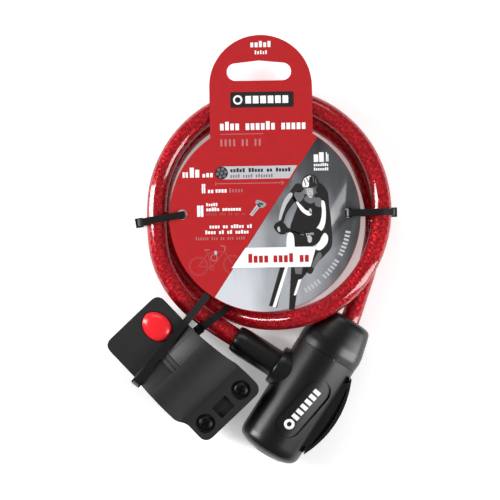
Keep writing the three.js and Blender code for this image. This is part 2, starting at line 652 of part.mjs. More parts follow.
// ---------------------------------------------------------------- keys
function keyShape() {
  const bow = rounded([[-7, -5], [-3, -9.5], [9, -9.5], [14, -5], [14, 5], [9, 9.5], [-3, 9.5], [-7, 5]], 3.5);
  const blade = new THREE.Shape();
  const teeth = [[14.3, -4.2], [22, -4.2], [24, -3.1], [27, -4], [30, -2.6], [33, -3.8],
    [37, -2.8], [40, -3.6]];
  blade.moveTo(...teeth[0]);
  teeth.slice(1).forEach((point) => blade.lineTo(...point));
  blade.lineTo(44, 0);
  [...teeth].reverse().forEach(([x, y]) => blade.lineTo(x, -y));
  blade.closePath();
  return { bow, blade };
}

function key(number, low, heading) {
  const { bow, blade } = keyShape();
  const hole = rod(3.4, low - 1, low + 6, 'z', [0, 0, 0], 20);
  const holder = new THREE.Group();
  holder.position.set(59.2, 22.6, 0);
  holder.rotation.z = THREE.MathUtils.degToRad(heading);
  holder.add(
    piece(`key_${number}_bow`, extruded(bow, low, low + 4.2, 4).subtract(hole), MATERIAL.blackPlastic),
    piece(`key_${number}_blade`, extruded(blade, low + 1, low + 3.2), MATERIAL.steel),
  );
  return holder;
}

// ---------------------------------------------------------------- the whole pack
function cable() {
  const parts = new THREE.Group();
  const { tailLength, tailSteps, steps, radius } = CABLE;
  parts.add(
    piece('cable_tail', cableStretch(0, tailLength, tailSteps, radius), MATERIAL.sheath),
    piece('cable', cableStretch(tailLength + GAP, undefined, steps, radius), MATERIAL.sheath),
  );
  return parts;
}

const cords = [cable(), plug()];
const rest = [lockHead(), bracket(), card(), ties(), key(1, 1.8, 170), key(2, 6.4, 196)];
const group = new THREE.Group();
rest.forEach((item) => group.add(item));
group.updateMatrixWorld(true);

// the origin is the bottom centre of everything but the cable and its plug
const bounds = new THREE.Box3().setFromObject(group, true);
const centre = bounds.getCenter(new THREE.Vector3());
cords.forEach((item) => group.add(item));
group.position.set(-centre.x, -centre.y, -bounds.min.z);
group.updateMatrixWorld(true);

export default group;
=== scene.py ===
"""Looks of a bicycle cable lock in its retail pack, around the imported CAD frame.

Lengths are written in millimetres in the pack's own drawing frame and turned into metres here.
"""
import math
import random

import bmesh
import bpy
import numpy as np
from mathutils import Matrix, Vector


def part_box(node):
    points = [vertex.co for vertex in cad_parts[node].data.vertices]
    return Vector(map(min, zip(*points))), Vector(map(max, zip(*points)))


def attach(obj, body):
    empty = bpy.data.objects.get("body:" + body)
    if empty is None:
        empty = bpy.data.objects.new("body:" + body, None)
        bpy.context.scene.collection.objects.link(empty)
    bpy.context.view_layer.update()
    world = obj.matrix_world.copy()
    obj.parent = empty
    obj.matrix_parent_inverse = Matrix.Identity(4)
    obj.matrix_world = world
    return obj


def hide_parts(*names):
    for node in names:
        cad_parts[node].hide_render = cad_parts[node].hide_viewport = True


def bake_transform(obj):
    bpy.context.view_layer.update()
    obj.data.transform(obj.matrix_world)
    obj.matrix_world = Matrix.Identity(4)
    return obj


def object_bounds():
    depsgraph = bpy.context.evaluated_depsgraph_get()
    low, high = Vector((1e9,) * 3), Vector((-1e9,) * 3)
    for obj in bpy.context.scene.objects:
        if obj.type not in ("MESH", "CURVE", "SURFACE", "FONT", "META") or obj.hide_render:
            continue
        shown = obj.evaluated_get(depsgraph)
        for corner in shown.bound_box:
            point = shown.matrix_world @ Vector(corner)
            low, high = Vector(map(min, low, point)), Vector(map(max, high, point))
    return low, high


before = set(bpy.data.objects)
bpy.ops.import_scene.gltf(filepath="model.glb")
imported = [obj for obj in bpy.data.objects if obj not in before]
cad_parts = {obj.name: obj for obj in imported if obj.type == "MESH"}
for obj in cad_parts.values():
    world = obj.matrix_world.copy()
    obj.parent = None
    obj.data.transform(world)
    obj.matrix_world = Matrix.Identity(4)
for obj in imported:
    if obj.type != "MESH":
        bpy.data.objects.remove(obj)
cad_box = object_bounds()

MM = 0.001
random.seed(7)

# ---------------- the drawing frame
CARD_LOW = 26.2
CARD_TURN = 1.0
DISC = {"x": 9.1, "y": 20.3, "radius": 58.0}
LOCK = {"x": 8.4, "y": -124.2, "z": 16.0, "turn": -32.42, "flat": 0.77, "seam": 71.6, "top": 97.4}
PORT_ALONG = 50.1
BRACKET = {"x": -70.6, "y": -42.9, "turn": -46.4, "start": -1.6, "length": 83.8, "half": 22.4, "face": 33.0,
           "sheet": 3.0}
FLANGE = {"low": -19.0, "high": 28.0, "flare": 69}
CAMERA_HEIGHT = 1000.0
CAMERA_SPAN = 311.3  # width of the view on the ground

card_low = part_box("card")[0]
SHIFT = Vector((
    card_low[0] - (DISC["x"] - DISC["radius"]) * MM,
    card_low[1] - (DISC["y"] - DISC["radius"]) * MM,
    card_low[2] - CARD_LOW * MM,
))
DRAWING = Matrix.Translation(SHIFT) @ Matrix.Scale(MM, 4)


def moved(x, y, z=0):
    return Matrix.Translation((x, y, z))


def turned(degrees, axis="Z"):
    return Matrix.Rotation(math.radians(degrees), 4, axis)


def turned_frame(x, y, z, degrees):
    return DRAWING @ moved(x, y, z) @ turned(degrees)


LOCK_FRAME = turned_frame(LOCK["x"], LOCK["y"], LOCK["z"], LOCK["turn"])
BRACKET_FRAME = turned_frame(BRACKET["x"], BRACKET["y"], 0, BRACKET["turn"])
CARD_FRAME = turned_frame(DISC["x"], DISC["y"], 0, CARD_TURN)


# ---------------- camera and light
def make_camera():
    camera = bpy.data.objects.new("camera", bpy.data.cameras.new("camera"))
    camera.location = DRAWING @ Vector((0, 0, CAMERA_HEIGHT))
    camera.data.angle = 2 * math.atan(CAMERA_SPAN / 2 / CAMERA_HEIGHT)
    camera.data.clip_start = 0.01
    bpy.context.collection.objects.link(camera)
    bpy.context.scene.camera = camera


def softbox(name, place, size, power):
    light = bpy.data.lights.new(name, "AREA")
    light.shape = "RECTANGLE"
    light.size, light.size_y = size
    light.energy = power
    box = bpy.data.objects.new(name, light)
    box.location = Vector(place)
    box.rotation_euler = Vector(place).to_track_quat("Z", "Y").to_euler()
    bpy.context.collection.objects.link(box)


def make_light():
    softbox("softbox_left", (-0.85, 0.12, 0.34), (0.2, 1.0), 13.0)
    softbox("softbox_right", (0.78, -0.36, 0.42), (0.3, 1.1), 10.0)
    softbox("softbox_top", (0.05, 0.85, 0.9), (0.9, 0.4), 2.5)
    world = bpy.data.worlds.new("studio")
    world.use_nodes = True
    background = world.node_tree.nodes["Background"]
    background.inputs["Color"].default_value = (1, 1, 1, 1)
    background.inputs["Strength"].default_value = 0.2
    bpy.context.scene.world = world


def make_floor(material):
    half, gap = 3, 0.0002  # metres
    corners = [(-half, -half, 0), (half, -half, 0), (half, half, 0), (-half, half, 0)]
    mesh = bpy.data.meshes.new("floor")
    mesh.from_pydata(corners, [], [(0, 1, 2, 3)])
    floor = bpy.data.objects.new("floor", mesh)
    floor.location.z = cad_box[0][2] - gap
    bpy.context.collection.objects.link(floor)
    mesh.materials.append(material)


# ---------------- materials
def tone(red, green, blue):
    """Linear colour of an 8-bit display colour."""
    def linear(value):
        value /= 255
        return value / 12.92 if value <= 0.04045 else ((value + 0.055) / 1.055) ** 2.4
    return (linear(red), linear(green), linear(blue), 1.0)


class Looks:
    """A node material with short calls for what is linked together here."""

    def __init__(self, name, **settings):
        self.material = bpy.data.materials.new(name)
        self.material.use_nodes = True
        self.nodes = self.material.node_tree.nodes
        self.shader = self.nodes["Principled BSDF"]
        for socket, value in settings.items():
            self.shader.inputs[socket.replace("_", " ")].default_value = value

    def add(self, kind, **values):
        node = self.nodes.new(kind)
        for socket, value in values.items():
            if socket in node.inputs:
                node.inputs[socket].default_value = value
            else:
                setattr(node, socket, value)
        return node

    def link(self, source, target):
        self.material.node_tree.links.new(source, target)

    def places(self):
        return self.add("ShaderNodeTexCoord").outputs["Object"]

    def mapped(self, **values):
        node = self.add("ShaderNodeMapping", **values)
        self.link(self.places(), node.inputs["Vector"])
        return node.outputs["Vector"]

    def noise(self, scale, detail=3.0, vector=None):
        node = self.add("ShaderNodeTexNoise", Scale=scale, Detail=detail)
        self.link(vector or self.places(), node.inputs["Vector"])
        return node.outputs["Fac"]

    def ramp(self, value, stops):
        node = self.add("ShaderNodeValToRGB")
        elements = node.color_ramp.elements
        while len(elements) < len(stops):
            elements.new(0.5)
        for element, (place, colour) in zip(elements, stops):
            element.position = place
            element.color = colour
        self.link(value, node.inputs["Fac"])
        return node.outputs["Color"]

    def bump(self, height, strength, distance):
        node = self.add("ShaderNodeBump", Strength=strength, Distance=distance)
        self.link(height, node.inputs["Height"])
        self.link(node.outputs["Normal"], self.shader.inputs["Normal"])

    def colour(self, source):
        self.link(source, self.shader.inputs["Base Color"])

    def roughness(self, value, low, high):
        node = self.add("ShaderNodeMapRange")
        node.inputs["To Min"].default_value = low
        node.inputs["To Max"].default_value = high
        self.link(value, node.inputs["Value"])
        self.link(node.outputs["Result"], self.shader.inputs["Roughness"])


def plastic(name, dark, light, rough, grain, depth):
    """Moulded plastic: fine spark-eroded grain, faint cloudy variation of colour and gloss."""
    looks = Looks(name)
    looks.colour(looks.ramp(looks.noise(60, 4), [(0.3, dark), (0.7, light)]))
    looks.roughness(looks.noise(120, 3), *rough)
    looks.bump(looks.noise(grain, 2), 0.35, depth)
    return looks.material


def make_sheath():
    looks = Looks("clear_red_sheath", Roughness=0.09, IOR=1.46, Transmission_Weight=0.9, Coat_Weight=0.3)
    looks.shader.inputs["Coat Roughness"].default_value = 0.12
    red = looks.ramp(looks.noise(45, 3), [(0.35, tone(222, 26, 44)), (0.65, tone(236, 38, 54))])
    looks.colour(red)
    looks.bump(looks.noise(160, 2), 0.03, 0.0001)
    return looks.material


def make_braid():
    looks = Looks("braided_wire", Metallic=0.4, Roughness=0.34)
    shades = [(0.32, tone(182, 146, 150)), (0.5, tone(222, 194, 196)), (0.7, tone(244, 228, 228))]
    looks.colour(looks.ramp(looks.noise(420, 4), shades))
    return looks.material


def metal(name, dark, light, rough, stretch=(1, 1, 30)):
    """Brushed or plated metal with fine streaks along one way."""
    looks = Looks(name, Metallic=1.0)
    streaks = looks.noise(90, 4, looks.mapped(Scale=stretch))
    looks.colour(looks.ramp(streaks, [(0.3, dark), (0.7, light)]))
    looks.roughness(streaks, *rough)
    return looks.material


def ink(name, colour, rough=0.42):
    """Printing ink on coated card, with the card's faint unevenness."""
    looks = Looks(name, Coat_Weight=0.1)
    darker = tuple(0.93 * value for value in colour[:3]) + (1.0,)
    looks.colour(looks.ramp(looks.noise(150, 4), [(0.3, darker), (0.7, colour)]))
    looks.roughness(looks.noise(300, 2), rough - 0.06, rough + 0.06)
    looks.bump(looks.noise(900, 3), 0.08, 0.00005)
    return looks.material


def make_blurred_backdrop():
    """The grey picture's backdrop: a scene blurred along the rider's way."""
    looks = Looks("picture_backdrop", Roughness=0.4, Coat_Weight=0.25)
    streaks = looks.noise(38, 4, looks.mapped(Rotation=(0, 0, math.radians(24)), Scale=(1, 0.2, 1)))
    clouds = looks.noise(26, 2)
    slope = looks.add("ShaderNodeVectorMath", operation="DOT_PRODUCT")
    looks.link(looks.places(), slope.inputs[0])
    slope.inputs[1].default_value = (9.0, 5.5, 0)
    darkness = slope.outputs["Value"]
    for pattern, share in ((streaks, 1.1), (clouds, 0.7)):
        mixed = looks.add("ShaderNodeMath", operation="MULTIPLY_ADD")
        looks.link(pattern, mixed.inputs[0])
        mixed.inputs[1].default_value = share
        looks.link(darkness, mixed.inputs[2])
        darkness = mixed.outputs["Value"]
    spread = looks.add("ShaderNodeMapRange")
    spread.inputs["From Min"].default_value = 0.45
    spread.inputs["From Max"].default_value = 1.75
    looks.link(darkness, spread.inputs["Value"])
    greys = [(0.1, tone(208, 212, 218)), (0.45, tone(152, 155, 160)), (0.7, tone(78, 80, 83)),
             (1, tone(28, 29, 31))]
    looks.colour(looks.ramp(spread.outputs["Result"], greys))
    return looks.material


BLACK = plastic("black_satin", tone(7, 7, 8), tone(12, 12, 13), (0.27, 0.33), 1400, 0.00006)
BLACK_TEXTURED = plastic("black_textured", tone(12, 12, 12), tone(18, 17, 17), (0.5, 0.58), 900, 0.00012)
BLACK_NYLON = plastic("black_nylon", tone(9, 9, 9), tone(15, 15, 15), (0.26, 0.36), 1800, 0.00003)
RUBBER = plastic("black_rubber", tone(22, 22, 22), tone(34, 34, 34), (0.75, 0.85), 1500, 0.0001)
RED_BUTTON = plastic("red_gloss", tone(232, 28, 38), tone(242, 38, 48), (0.2, 0.27), 900, 0.00002)
SHEATH = make_sheath()
BRAID = make_braid()
STEEL = metal("zinc_steel", tone(150, 152, 155), tone(205, 206, 208), (0.22, 0.34))
BLACK_STEEL = metal("black_oxide", tone(30, 30, 31), tone(52, 52, 54), (0.3, 0.42))
BRASS = metal("machined_brass", tone(178, 140, 70), tone(222, 188, 110), (0.2, 0.32))
RED_INK = ink("red_ink", tone(180, 18, 25))
WHITE_INK = ink("white_ink", tone(252, 251, 251))
PINK_INK = ink("pink_ink", tone(190, 112, 114))
PALE_RED_INK = ink("pale_red_ink", tone(176, 72, 74))
BLACK_INK = ink("black_ink", tone(24, 22, 23))
GREY_INKS = {
    shade: ink(f"grey_ink_{shade}", tone(0.9 * shade, 0.9 * shade, 0.92 * shade))
    for shade in (34, 70, 120, 172, 214)
}
BACKDROP = make_blurred_backdrop()
FLOOR = Looks("studio_floor", Base_Color=(0.95, 0.95, 0.95, 1), Roughness=0.8, Emission_Color=(1, 1, 1, 1),
              Emission_Strength=0.3).material


# ---------------- mesh helpers
def new_object(name, vertices, faces, matrix, material=None, smooth=40):
    mesh = bpy.data.meshes.new(name)
    mesh.from_pydata([matrix @ Vector(v) for v in vertices], [], faces)
    mesh.update()
    thing = bpy.data.objects.new(name, mesh)
    bpy.context.collection.objects.link(thing)
    if material:
        mesh.materials.append(material)
    shade(thing, smooth)
    return thing


def shade(thing, degrees=40):
    thing.data.shade_smooth()
    thing.data.set_sharp_from_angle(angle=math.radians(degrees))


def outward(thing):
    shape = bmesh.new()
    shape.from_mesh(thing.data)
    bmesh.ops.recalc_face_normals(shape, faces=shape.faces)
    shape.to_mesh(thing.data)
    shape.free()
    return thing


def finished(thing):
    """The object with its modifiers applied."""
    bpy.context.view_layer.update()
    graph = bpy.context.evaluated_depsgraph_get()
    mesh = bpy.data.meshes.new_from_object(thing.evaluated_get(graph))
    thing.modifiers.clear()
    thing.data = mesh
    return thing


def combined(thing, others, operation):
    """Cuts or joins the other objects, which are used up."""
    for other in others:
        modifier = thing.modifiers.new("cut", "BOOLEAN")
        modifier.operation = operation
        modifier.solver = "EXACT"
        modifier.object = other
        finished(thing)
        bpy.data.objects.remove(other)
    return thing


def carve(thing, *others):
    return combined(thing, others, "DIFFERENCE")


def fuse(thing, *others):
    return combined(thing, others, "UNION")


def bevelled(thing, width, segments, degrees):
    bevel = thing.modifiers.new("bevel", "BEVEL")
    bevel.width = width * MM
    bevel.segments = segments
    bevel.limit_method = "ANGLE"
    bevel.angle_limit = math.radians(degrees)
    return bevel


def even_normals(thing):
    thing.modifiers.new("normals", "WEIGHTED_NORMAL").keep_sharp = True


def rounded_edges(thing, width, segments=3, degrees=35, smooth=40):
    bevelled(thing, width, segments, degrees).miter_outer = "MITER_ARC"
    finished(thing)
    shade(thing, smooth)
    even_normals(thing)
    return thing


def prism(name, outline, low, high, matrix, material=None):
    """Outline in X and Y, drawn out from low to high along Z."""
    count = len(outline)
    vertices = [(x, y, low) for x, y in outline] + [(x, y, high) for x, y in outline]
    faces = [tuple(range(count))[::-1], tuple(range(count, 2 * count))]
    faces += [(i, (i + 1) % count, count + (i + 1) % count, count + i) for i in range(count)]
    return outward(new_object(name, vertices, faces, matrix, material))


def lathe(name, profile, matrix, material=None, sides=96, flat=1.0, smooth=40):
    """Profile of (radius, place along Y) turned about Y; it starts and ends on the axis or closes."""
    vertices, rings = [], []
    for radius, place in profile:
        if radius < 1e-6:
            rings.append([len(vertices)])
            vertices.append((0, place, 0))
            continue
        rings.append(list(range(len(vertices), len(vertices) + sides)))
        for i in range(sides):
            angle = 2 * math.pi * i / sides
            vertices.append((radius * math.cos(angle), place, flat * radius * math.sin(angle)))
    faces = []
    pairs = list(zip(rings, rings[1:]))
    if len(rings[0]) > 1:
        pairs.append((rings[-1], rings[0]))
    for low, high in pairs:
        for i in range(sides):
            j = (i + 1) % sides
            if len(low) == 1:
                faces.append((low[0], high[j], high[i]))
            elif len(high) == 1:
                faces.append((low[i], low[j], high[0]))
            else:
                faces.append((low[i], low[j], high[j], high[i]))
    return outward(new_object(name, vertices, faces, matrix, material, smooth))


def bent(start, middle, end, t):
    """Place t along the curve that leaves start towards middle and comes to end."""
    return (1 - t) ** 2 * start + 2 * t * (1 - t) * middle + t * t * end


def eased(profile, step=0.25, radius=1.2):
    """Profile with its inner corners rounded by short arcs."""
    out = [profile[0]]
    for before, here, after in zip(profile, profile[1:], profile[2:]):
        a, b, c = Vector(before), Vector(here), Vector(after)
        cut = min(radius, 0.45 * (a - b).length, 0.45 * (c - b).length)
        start, end = b + (a - b).normalized() * cut, b + (c - b).normalized() * cut
        count = max(3, int(cut / step))
        for i in range(count + 1):
            out.append(tuple(bent(start, b, end, i / count)))
    out.append(profile[-1])
    return out


def arc(x, y, radius, start, end, count=24):
    angles = [math.radians(start + (end - start) * i / count) for i in range(count + 1)]
    return [(x + radius * math.cos(a), y + radius * math.sin(a)) for a in angles]


def box_outline(x0, x1, y0, y1, radius=0.0, count=6):
    if radius <= 0:
        return [(x0, y0), (x1, y0), (x1, y1), (x0, y1)]
    corners = [(x1 - radius, y0 + radius, -90), (x1 - radius, y1 - radius, 0),
               (x0 + radius, y1 - radius, 90), (x0 + radius, y0 + radius, 180)]
    return [point for x, y, a in corners for point in arc(x, y, radius, a, a + 90, count)]


def stadium(length, width, count=24):
    half = (length - width) / 2
    return arc(half, 0, width / 2, -90, 90, count) + arc(-half, 0, width / 2, 90, 270, count)


def round_corners(points, radius, count=8):
    out = []
    for i, (x, y, *own) in enumerate(points):
        here = Vector((x, y))
        back = Vector(points[i - 1][:2]) - here
        on = Vector(points[(i + 1) % len(points)][:2]) - here
        cut = min(own[0] if own else radius, 0.45 * back.length, 0.45 * on.length)
        start, end = here + back.normalized() * cut, here + on.normalized() * cut
        for k in range(count + 1):
            out.append(tuple(bent(start, here, end, k / count)))
    return out


def rides(piece, body, slot, *nodes):
    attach(piece, body)
    if nodes:
        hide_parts(*nodes)
    return piece


# ---------------- cable
REAR = {"x": 7.2, "y": 24.9, "radius": 67.2, "z": 7.6}
FRONT = {"x": 11.6, "y": 24.7, "radius": 68.6, "z": 19.8}
TUCK = {"depth": 4.7, "from": 20, "settled": 75, "until": 215, "out": 275}
CLIMB = {"from": 240, "crest": 302.6, "settled": 390, "crest_z": 28.4}
TAIL_POINTS = [
    (49.99, -64.2, 16), (52.7, -60, 16), (57.4, -51.5, 16), (61.4, -42.5, 15.8), (66.6, -27.4, 14),
    (71.4, -13.2, 11.6), (75, 0.2, 9.6), (76.9, 13.5, 8.3), (76.4, 27, 7.7),
]
PLUG_POINTS = [
    (-54.8, -3.6, 20.3), (-48.4, -19, 20.8), (-38.3, -32.3, 20.4), (-23.5, -44, 17.9),
    (-9.4, -53.5, 16.07), (-1, -58.85, 16),
]
CABLE_RADIUS = 6.0
BRAID_CARRIERS = 8
CHANGE = {"from": 240, "takes": 60}  # degrees where the rear turn becomes the front one
BRAID_PITCH = 40.0
BRAID_RADIUS = 4.45
BRAID_WAVE = 0.36  # how far a ribbon goes over and under the others
RIBBON_SPREAD = 0.36  # half the angle that a ribbon takes round the cable
CORE_RADIUS = 3.75


def smooth(t):
    t = min(1.0, max(0.0, t))
    return t * t * (3 - 2 * t)


def coil_height(degrees):
    if degrees <= CLIMB["crest"]:
        t = min(1.0, max(0.0, (degrees - CLIMB["from"]) / (CLIMB["crest"] - CLIMB["from"])))
        share = 2 * t * t if t < 0.5 else 1 - 2 * (1 - t) ** 2
        return REAR["z"] + (CLIMB["crest_z"] - REAR["z"]) * share
    t = min(1.0, (degrees - CLIMB["crest"]) / (CLIMB["settled"] - CLIMB["crest"]))
    return FRONT["z"] + (CLIMB["crest_z"] - FRONT["z"]) * (1 + math.cos(math.pi * t)) / 2


def coil_point(degrees):
    share = smooth((degrees - CHANGE["from"]) / CHANGE["takes"])
    x, y, radius = (REAR[key] + (FRONT[key] - REAR[key]) * share for key in ("x", "y", "radius"))
    radius -= TUCK["depth"] * (smooth((degrees - TUCK["from"]) / (TUCK["settled"] - TUCK["from"]))
                               * smooth((TUCK["out"] - degrees) / (TUCK["out"] - TUCK["until"])))
    angle = math.radians(degrees)
    return (x + radius * math.cos(angle), y + radius * math.sin(angle), coil_height(degrees))


def spline(points, per_span=24):
    """Centripetal Catmull-Rom curve through the points."""
    nodes = [np.array(p, float) for p in points]
    nodes = [2 * nodes[0] - nodes[1]] + nodes + [2 * nodes[-1] - nodes[-2]]
    out = []
    for p0, p1, p2, p3 in zip(nodes, nodes[1:], nodes[2:], nodes[3:]):
        d0, d1, d2 = (np.linalg.norm(b - a) ** 0.5 for a, b in ((p0, p1), (p1, p2), (p2, p3)))
        t1 = d1 * ((p1 - p0) / d0 - (p2 - p0) / (d0 + d1) + (p2 - p1) / d1)
        t2 = d1 * ((p2 - p1) / d1 - (p3 - p1) / (d1 + d2) + (p3 - p2) / d2)
        square = -3 * p1 + 3 * p2 - 2 * t1 - t2
        cube = 2 * p1 - 2 * p2 + t1 + t2
        for k in range(per_span):
            t = k / per_span
            out.append(p1 + t1 * t + square * t * t + cube * t ** 3)
    out.append(nodes[-2])
    return np.array(out)


def cable_route():
    """Evenly spaced centreline points, their lengths along it, and the two directions across it."""
    points = TAIL_POINTS + [coil_point(a) for a in range(15, 541, 15)] + PLUG_POINTS
    line = spline(points)
    lengths = np.concatenate([[0], np.cumsum(np.linalg.norm(np.diff(line, axis=0), axis=1))])
    stations = np.linspace(0, lengths[-1], 600)
    line = np.stack([np.interp(stations, lengths, line[:, k]) for k in range(3)], axis=1)
    ahead = np.gradient(line, axis=0)
    ahead /= np.linalg.norm(ahead, axis=1)[:, None]
    side = np.cross(ahead, (0, 0, 1))
    side /= np.linalg.norm(side, axis=1)[:, None]
    up = np.cross(side, ahead)
    return line, stations, side, up


LINE, STATIONS, SIDE, UP = cable_route()


def swept(name, radii, angles, material, smooth_angle=60):
    """Closed skin round the cable's line: radii and angles are (stations, corners) arrays."""
    rings = (LINE[:, None] + SIDE[:, None] * (radii * np.cos(angles))[..., None]
             + UP[:, None] * (radii * np.sin(angles))[..., None])
    count, sides = radii.shape
    faces = []
    for i in range(count - 1):
        low, high = i * sides, (i + 1) * sides
        faces += [(low + j, low + (j + 1) % sides, high + (j + 1) % sides, high + j) for j in range(sides)]
    faces += [tuple(range(sides))[::-1], tuple(range((count - 1) * sides, count * sides))]
    skin = new_object(name, rings.reshape(-1, 3).tolist(), faces, DRAWING, material, smooth_angle)
    return outward(skin), np.repeat(STATIONS, sides)


def joined(name, things):
    """One object from several, in order."""
    shape = bmesh.new()
    for thing in things:
        shape.from_mesh(thing.data)
    mesh = bpy.data.meshes.new(name)
    shape.to_mesh(mesh)
    shape.free()
    mesh.materials.append(things[0].data.materials[0])
    for thing in things:
        bpy.data.objects.remove(thing)
    whole = bpy.data.objects.new(name, mesh)
    bpy.context.collection.objects.link(whole)
    return whole


def bends_with_lock(piece):
    """Bakes the piece's placement into its mesh."""
    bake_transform(piece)


def make_cable():
    sides = 40
    angles = np.tile(np.linspace(0, 2 * math.pi, sides, endpoint=False), (len(LINE), 1))
    radii = np.full(angles.shape, CABLE_RADIUS - 0.02)
    sheath, sheath_lengths = swept("cable_sheath", radii, angles, SHEATH)
    ribbons, lengths = [], []
    lateral = np.array([-1, -0.75, -0.5, -0.25, 0, 0.25, 0.5, 0.75, 1, 0.9, 0, -0.9])
    bumps = np.array([-0.1, 0.24, 0, 0.24, 0, 0.24, 0, 0.24, -0.1, -0.35, -0.35, -0.35])
    turns = 2 * math.pi * STATIONS / BRAID_PITCH
    for way in (1, -1):
        wave = BRAID_RADIUS + way * BRAID_WAVE * np.cos(BRAID_CARRIERS * turns)
        for carrier in range(BRAID_CARRIERS):
            middle = way * turns + 2 * math.pi * carrier / BRAID_CARRIERS
            ring_angles = middle[:, None] + lateral[None, :] * RIBBON_SPREAD
            radii = wave[:, None] + bumps[None, :]
            skin, spots = swept(f"ribbon_{way}_{carrier}", radii, ring_angles, BRAID, 75)
            ribbons.append(skin)
            lengths.append(spots)
    core, core_lengths = swept("core", np.full(angles[:, ::4].shape, CORE_RADIUS), angles[:, ::4], BRAID)
    braid = joined("cable_braid", ribbons + [core])
    braid.data.shade_smooth()
    sheath.name = "cable_sheath"
    bends_with_lock(sheath)
    bends_with_lock(braid)
    for piece in (sheath, braid):
        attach(piece, "pack")
    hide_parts("cable", "cable_tail")
    return sheath, braid


# ---------------- lock head
BODY_PROFILE = [
    (0, 0), (7, 0.3), (12.4, 1), (16.3, 2.5), (18.6, 4.2), (19.6, 6.2), (20, 9), (20, 45),
    (20.1, LOCK["seam"] - 0.15),
]
CAP_PROFILE = [
    (20.1, LOCK["seam"] + 0.15), (20.4, 76), (19.9, 80.6), (18, 88), (16.4, 93.6), (15.5, 95.8),
    (13.4, 97), (10, LOCK["top"]),
]
BOSS_PROFILE = [(0, -23.3), (11.6, -23.3), (12.2, -22.6), (12.6, -20), (12.6, -4), (0, -4)]
SLEEVE_PROFILE = [
    (0, -52.9), (7.2, -52.9), (7.9, -52.2), (8.5, -50), (8.85, -46.6), (8.85, -20.4), (8.05, -19.6),
    (0, -19.6),
]
LABEL = {"along": 36.8, "across": 4.6, "turn": -9.0, "length": 42.0, "width": 15.8, "depth": 1.2}
TONGUE = {"from": 12.9, "to": 67.2, "bulge": 27.1, "shoulder": 22.6, "ends": 21.2, "rim": 2.1, "half": 8.0}
PORT_FRAME = LOCK_FRAME @ moved(0, PORT_ALONG) @ turned(-90)


def rod(name, radius, start, end, matrix, sides=64, flat=1.0):
    return lathe(name, [(0, start), (radius, start), (radius, end), (0, end)], matrix, None, sides, flat)


def block(name, x0, x1, y0, y1, z0, z1, matrix):
    return prism(name, box_outline(x0, x1, y0, y1), z0, z1, matrix)


def inset_body(name, inset):
    """The lock body's outside, taken in by the inset, without its boss."""
    profile = [(max(0, radius - inset), place) for radius, place in BODY_PROFILE[1:]]
    profile = [(0, profile[0][1])] + profile + [(0, BODY_PROFILE[-1][1])]
    return lathe(name, profile, LOCK_FRAME, None, 160, LOCK["flat"])


def label_frame():
    return LOCK_FRAME @ moved(LABEL["across"], LABEL["along"]) @ turned(90 + LABEL["turn"])


def label_solid(name, margin, low, high):
    outline = stadium(LABEL["length"] - 2 * margin, LABEL["width"] - 2 * margin)
    return prism(name, outline, low, high, label_frame())


def make_lock_body():
    outside = eased(BODY_PROFILE, 0.2, 1.6)
    body = lathe("lock_body", outside + [(0, BODY_PROFILE[-1][1])], LOCK_FRAME, BLACK, 192, LOCK["flat"])
    boss = lathe("boss", eased(BOSS_PROFILE, 0.2, 0.7), PORT_FRAME, None, 128, 0.93)
    fuse(body, boss)
    cuts = [
        carve(label_solid("recess", 0, 6, 22), inset_body("floor_of_recess", LABEL["depth"])),
        carve(label_solid("lip", -0.45, 6, 22), inset_body("floor_of_lip", 0.4)),
        rod("port_pocket", 9.2, -25, -19.2, PORT_FRAME, 96),
        rod("port_bore", 6.3, -20, -12, PORT_FRAME, 64),
        rod("bezel_seat", 12.1, -2, 3.3, LOCK_FRAME, 96, LOCK["flat"]),
        rod("cylinder_seat", 10.6, 3, 38.1, LOCK_FRAME, 96),
        block("tongue_pocket", 16.4, 24, 35.7, 46.3, -4.3, 4.3, LOCK_FRAME),
    ]
    carve(body, *cuts)
    shade(body, 24)
    return rides(body, "lock_head", "black_plastic", "lock_body_shell")


def make_end_cap():
    inside = [(16.5, 71.75), (16.5, 79), (11.5, 92), (0, 92)]
    profile = eased(CAP_PROFILE, 0.2, 1.2) + [(0, LOCK["top"])]
    cap = lathe("cap", [(0, LOCK["seam"] + 0.15)] + profile, LOCK_FRAME, BLACK, 192, LOCK["flat"])
    hollow = lathe("hollow", [(0, 71)] + inside, LOCK_FRAME, None, 96, 0.7)
    carve(cap, hollow, cable_hole())
    shade(cap, 24)
    return rides(cap, "lock_head", "black_plastic", "lock_end_cap")


def cable_hole():
    """Room for the cable where it leaves the cap."""
    middle = DRAWING.inverted() @ LOCK_FRAME @ Vector((3, 84, 0))
    ahead = (Vector(TAIL_POINTS[2]) - middle).normalized()
    frame_of_hole = DRAWING @ Matrix.Translation(middle) @ ahead.to_track_quat("Y", "Z").to_matrix().to_4x4()
    return rod("cable_hole", CABLE_RADIUS + 0.35, -4, 30, frame_of_hole, 96)


def make_badge():
    low, high = inset_body("badge_low", LABEL["depth"] - 0.05), inset_body("badge_high", 0.25)
    badge = label_solid("badge", 1.5, 6, 22)
    badge.data.materials.append(BLACK_NYLON)
    carve(badge, low)
    combined(badge, [high], "INTERSECT")
    shade(badge, 24)
    return rides(badge, "lock_head", "badge_rubber", "label_badge")


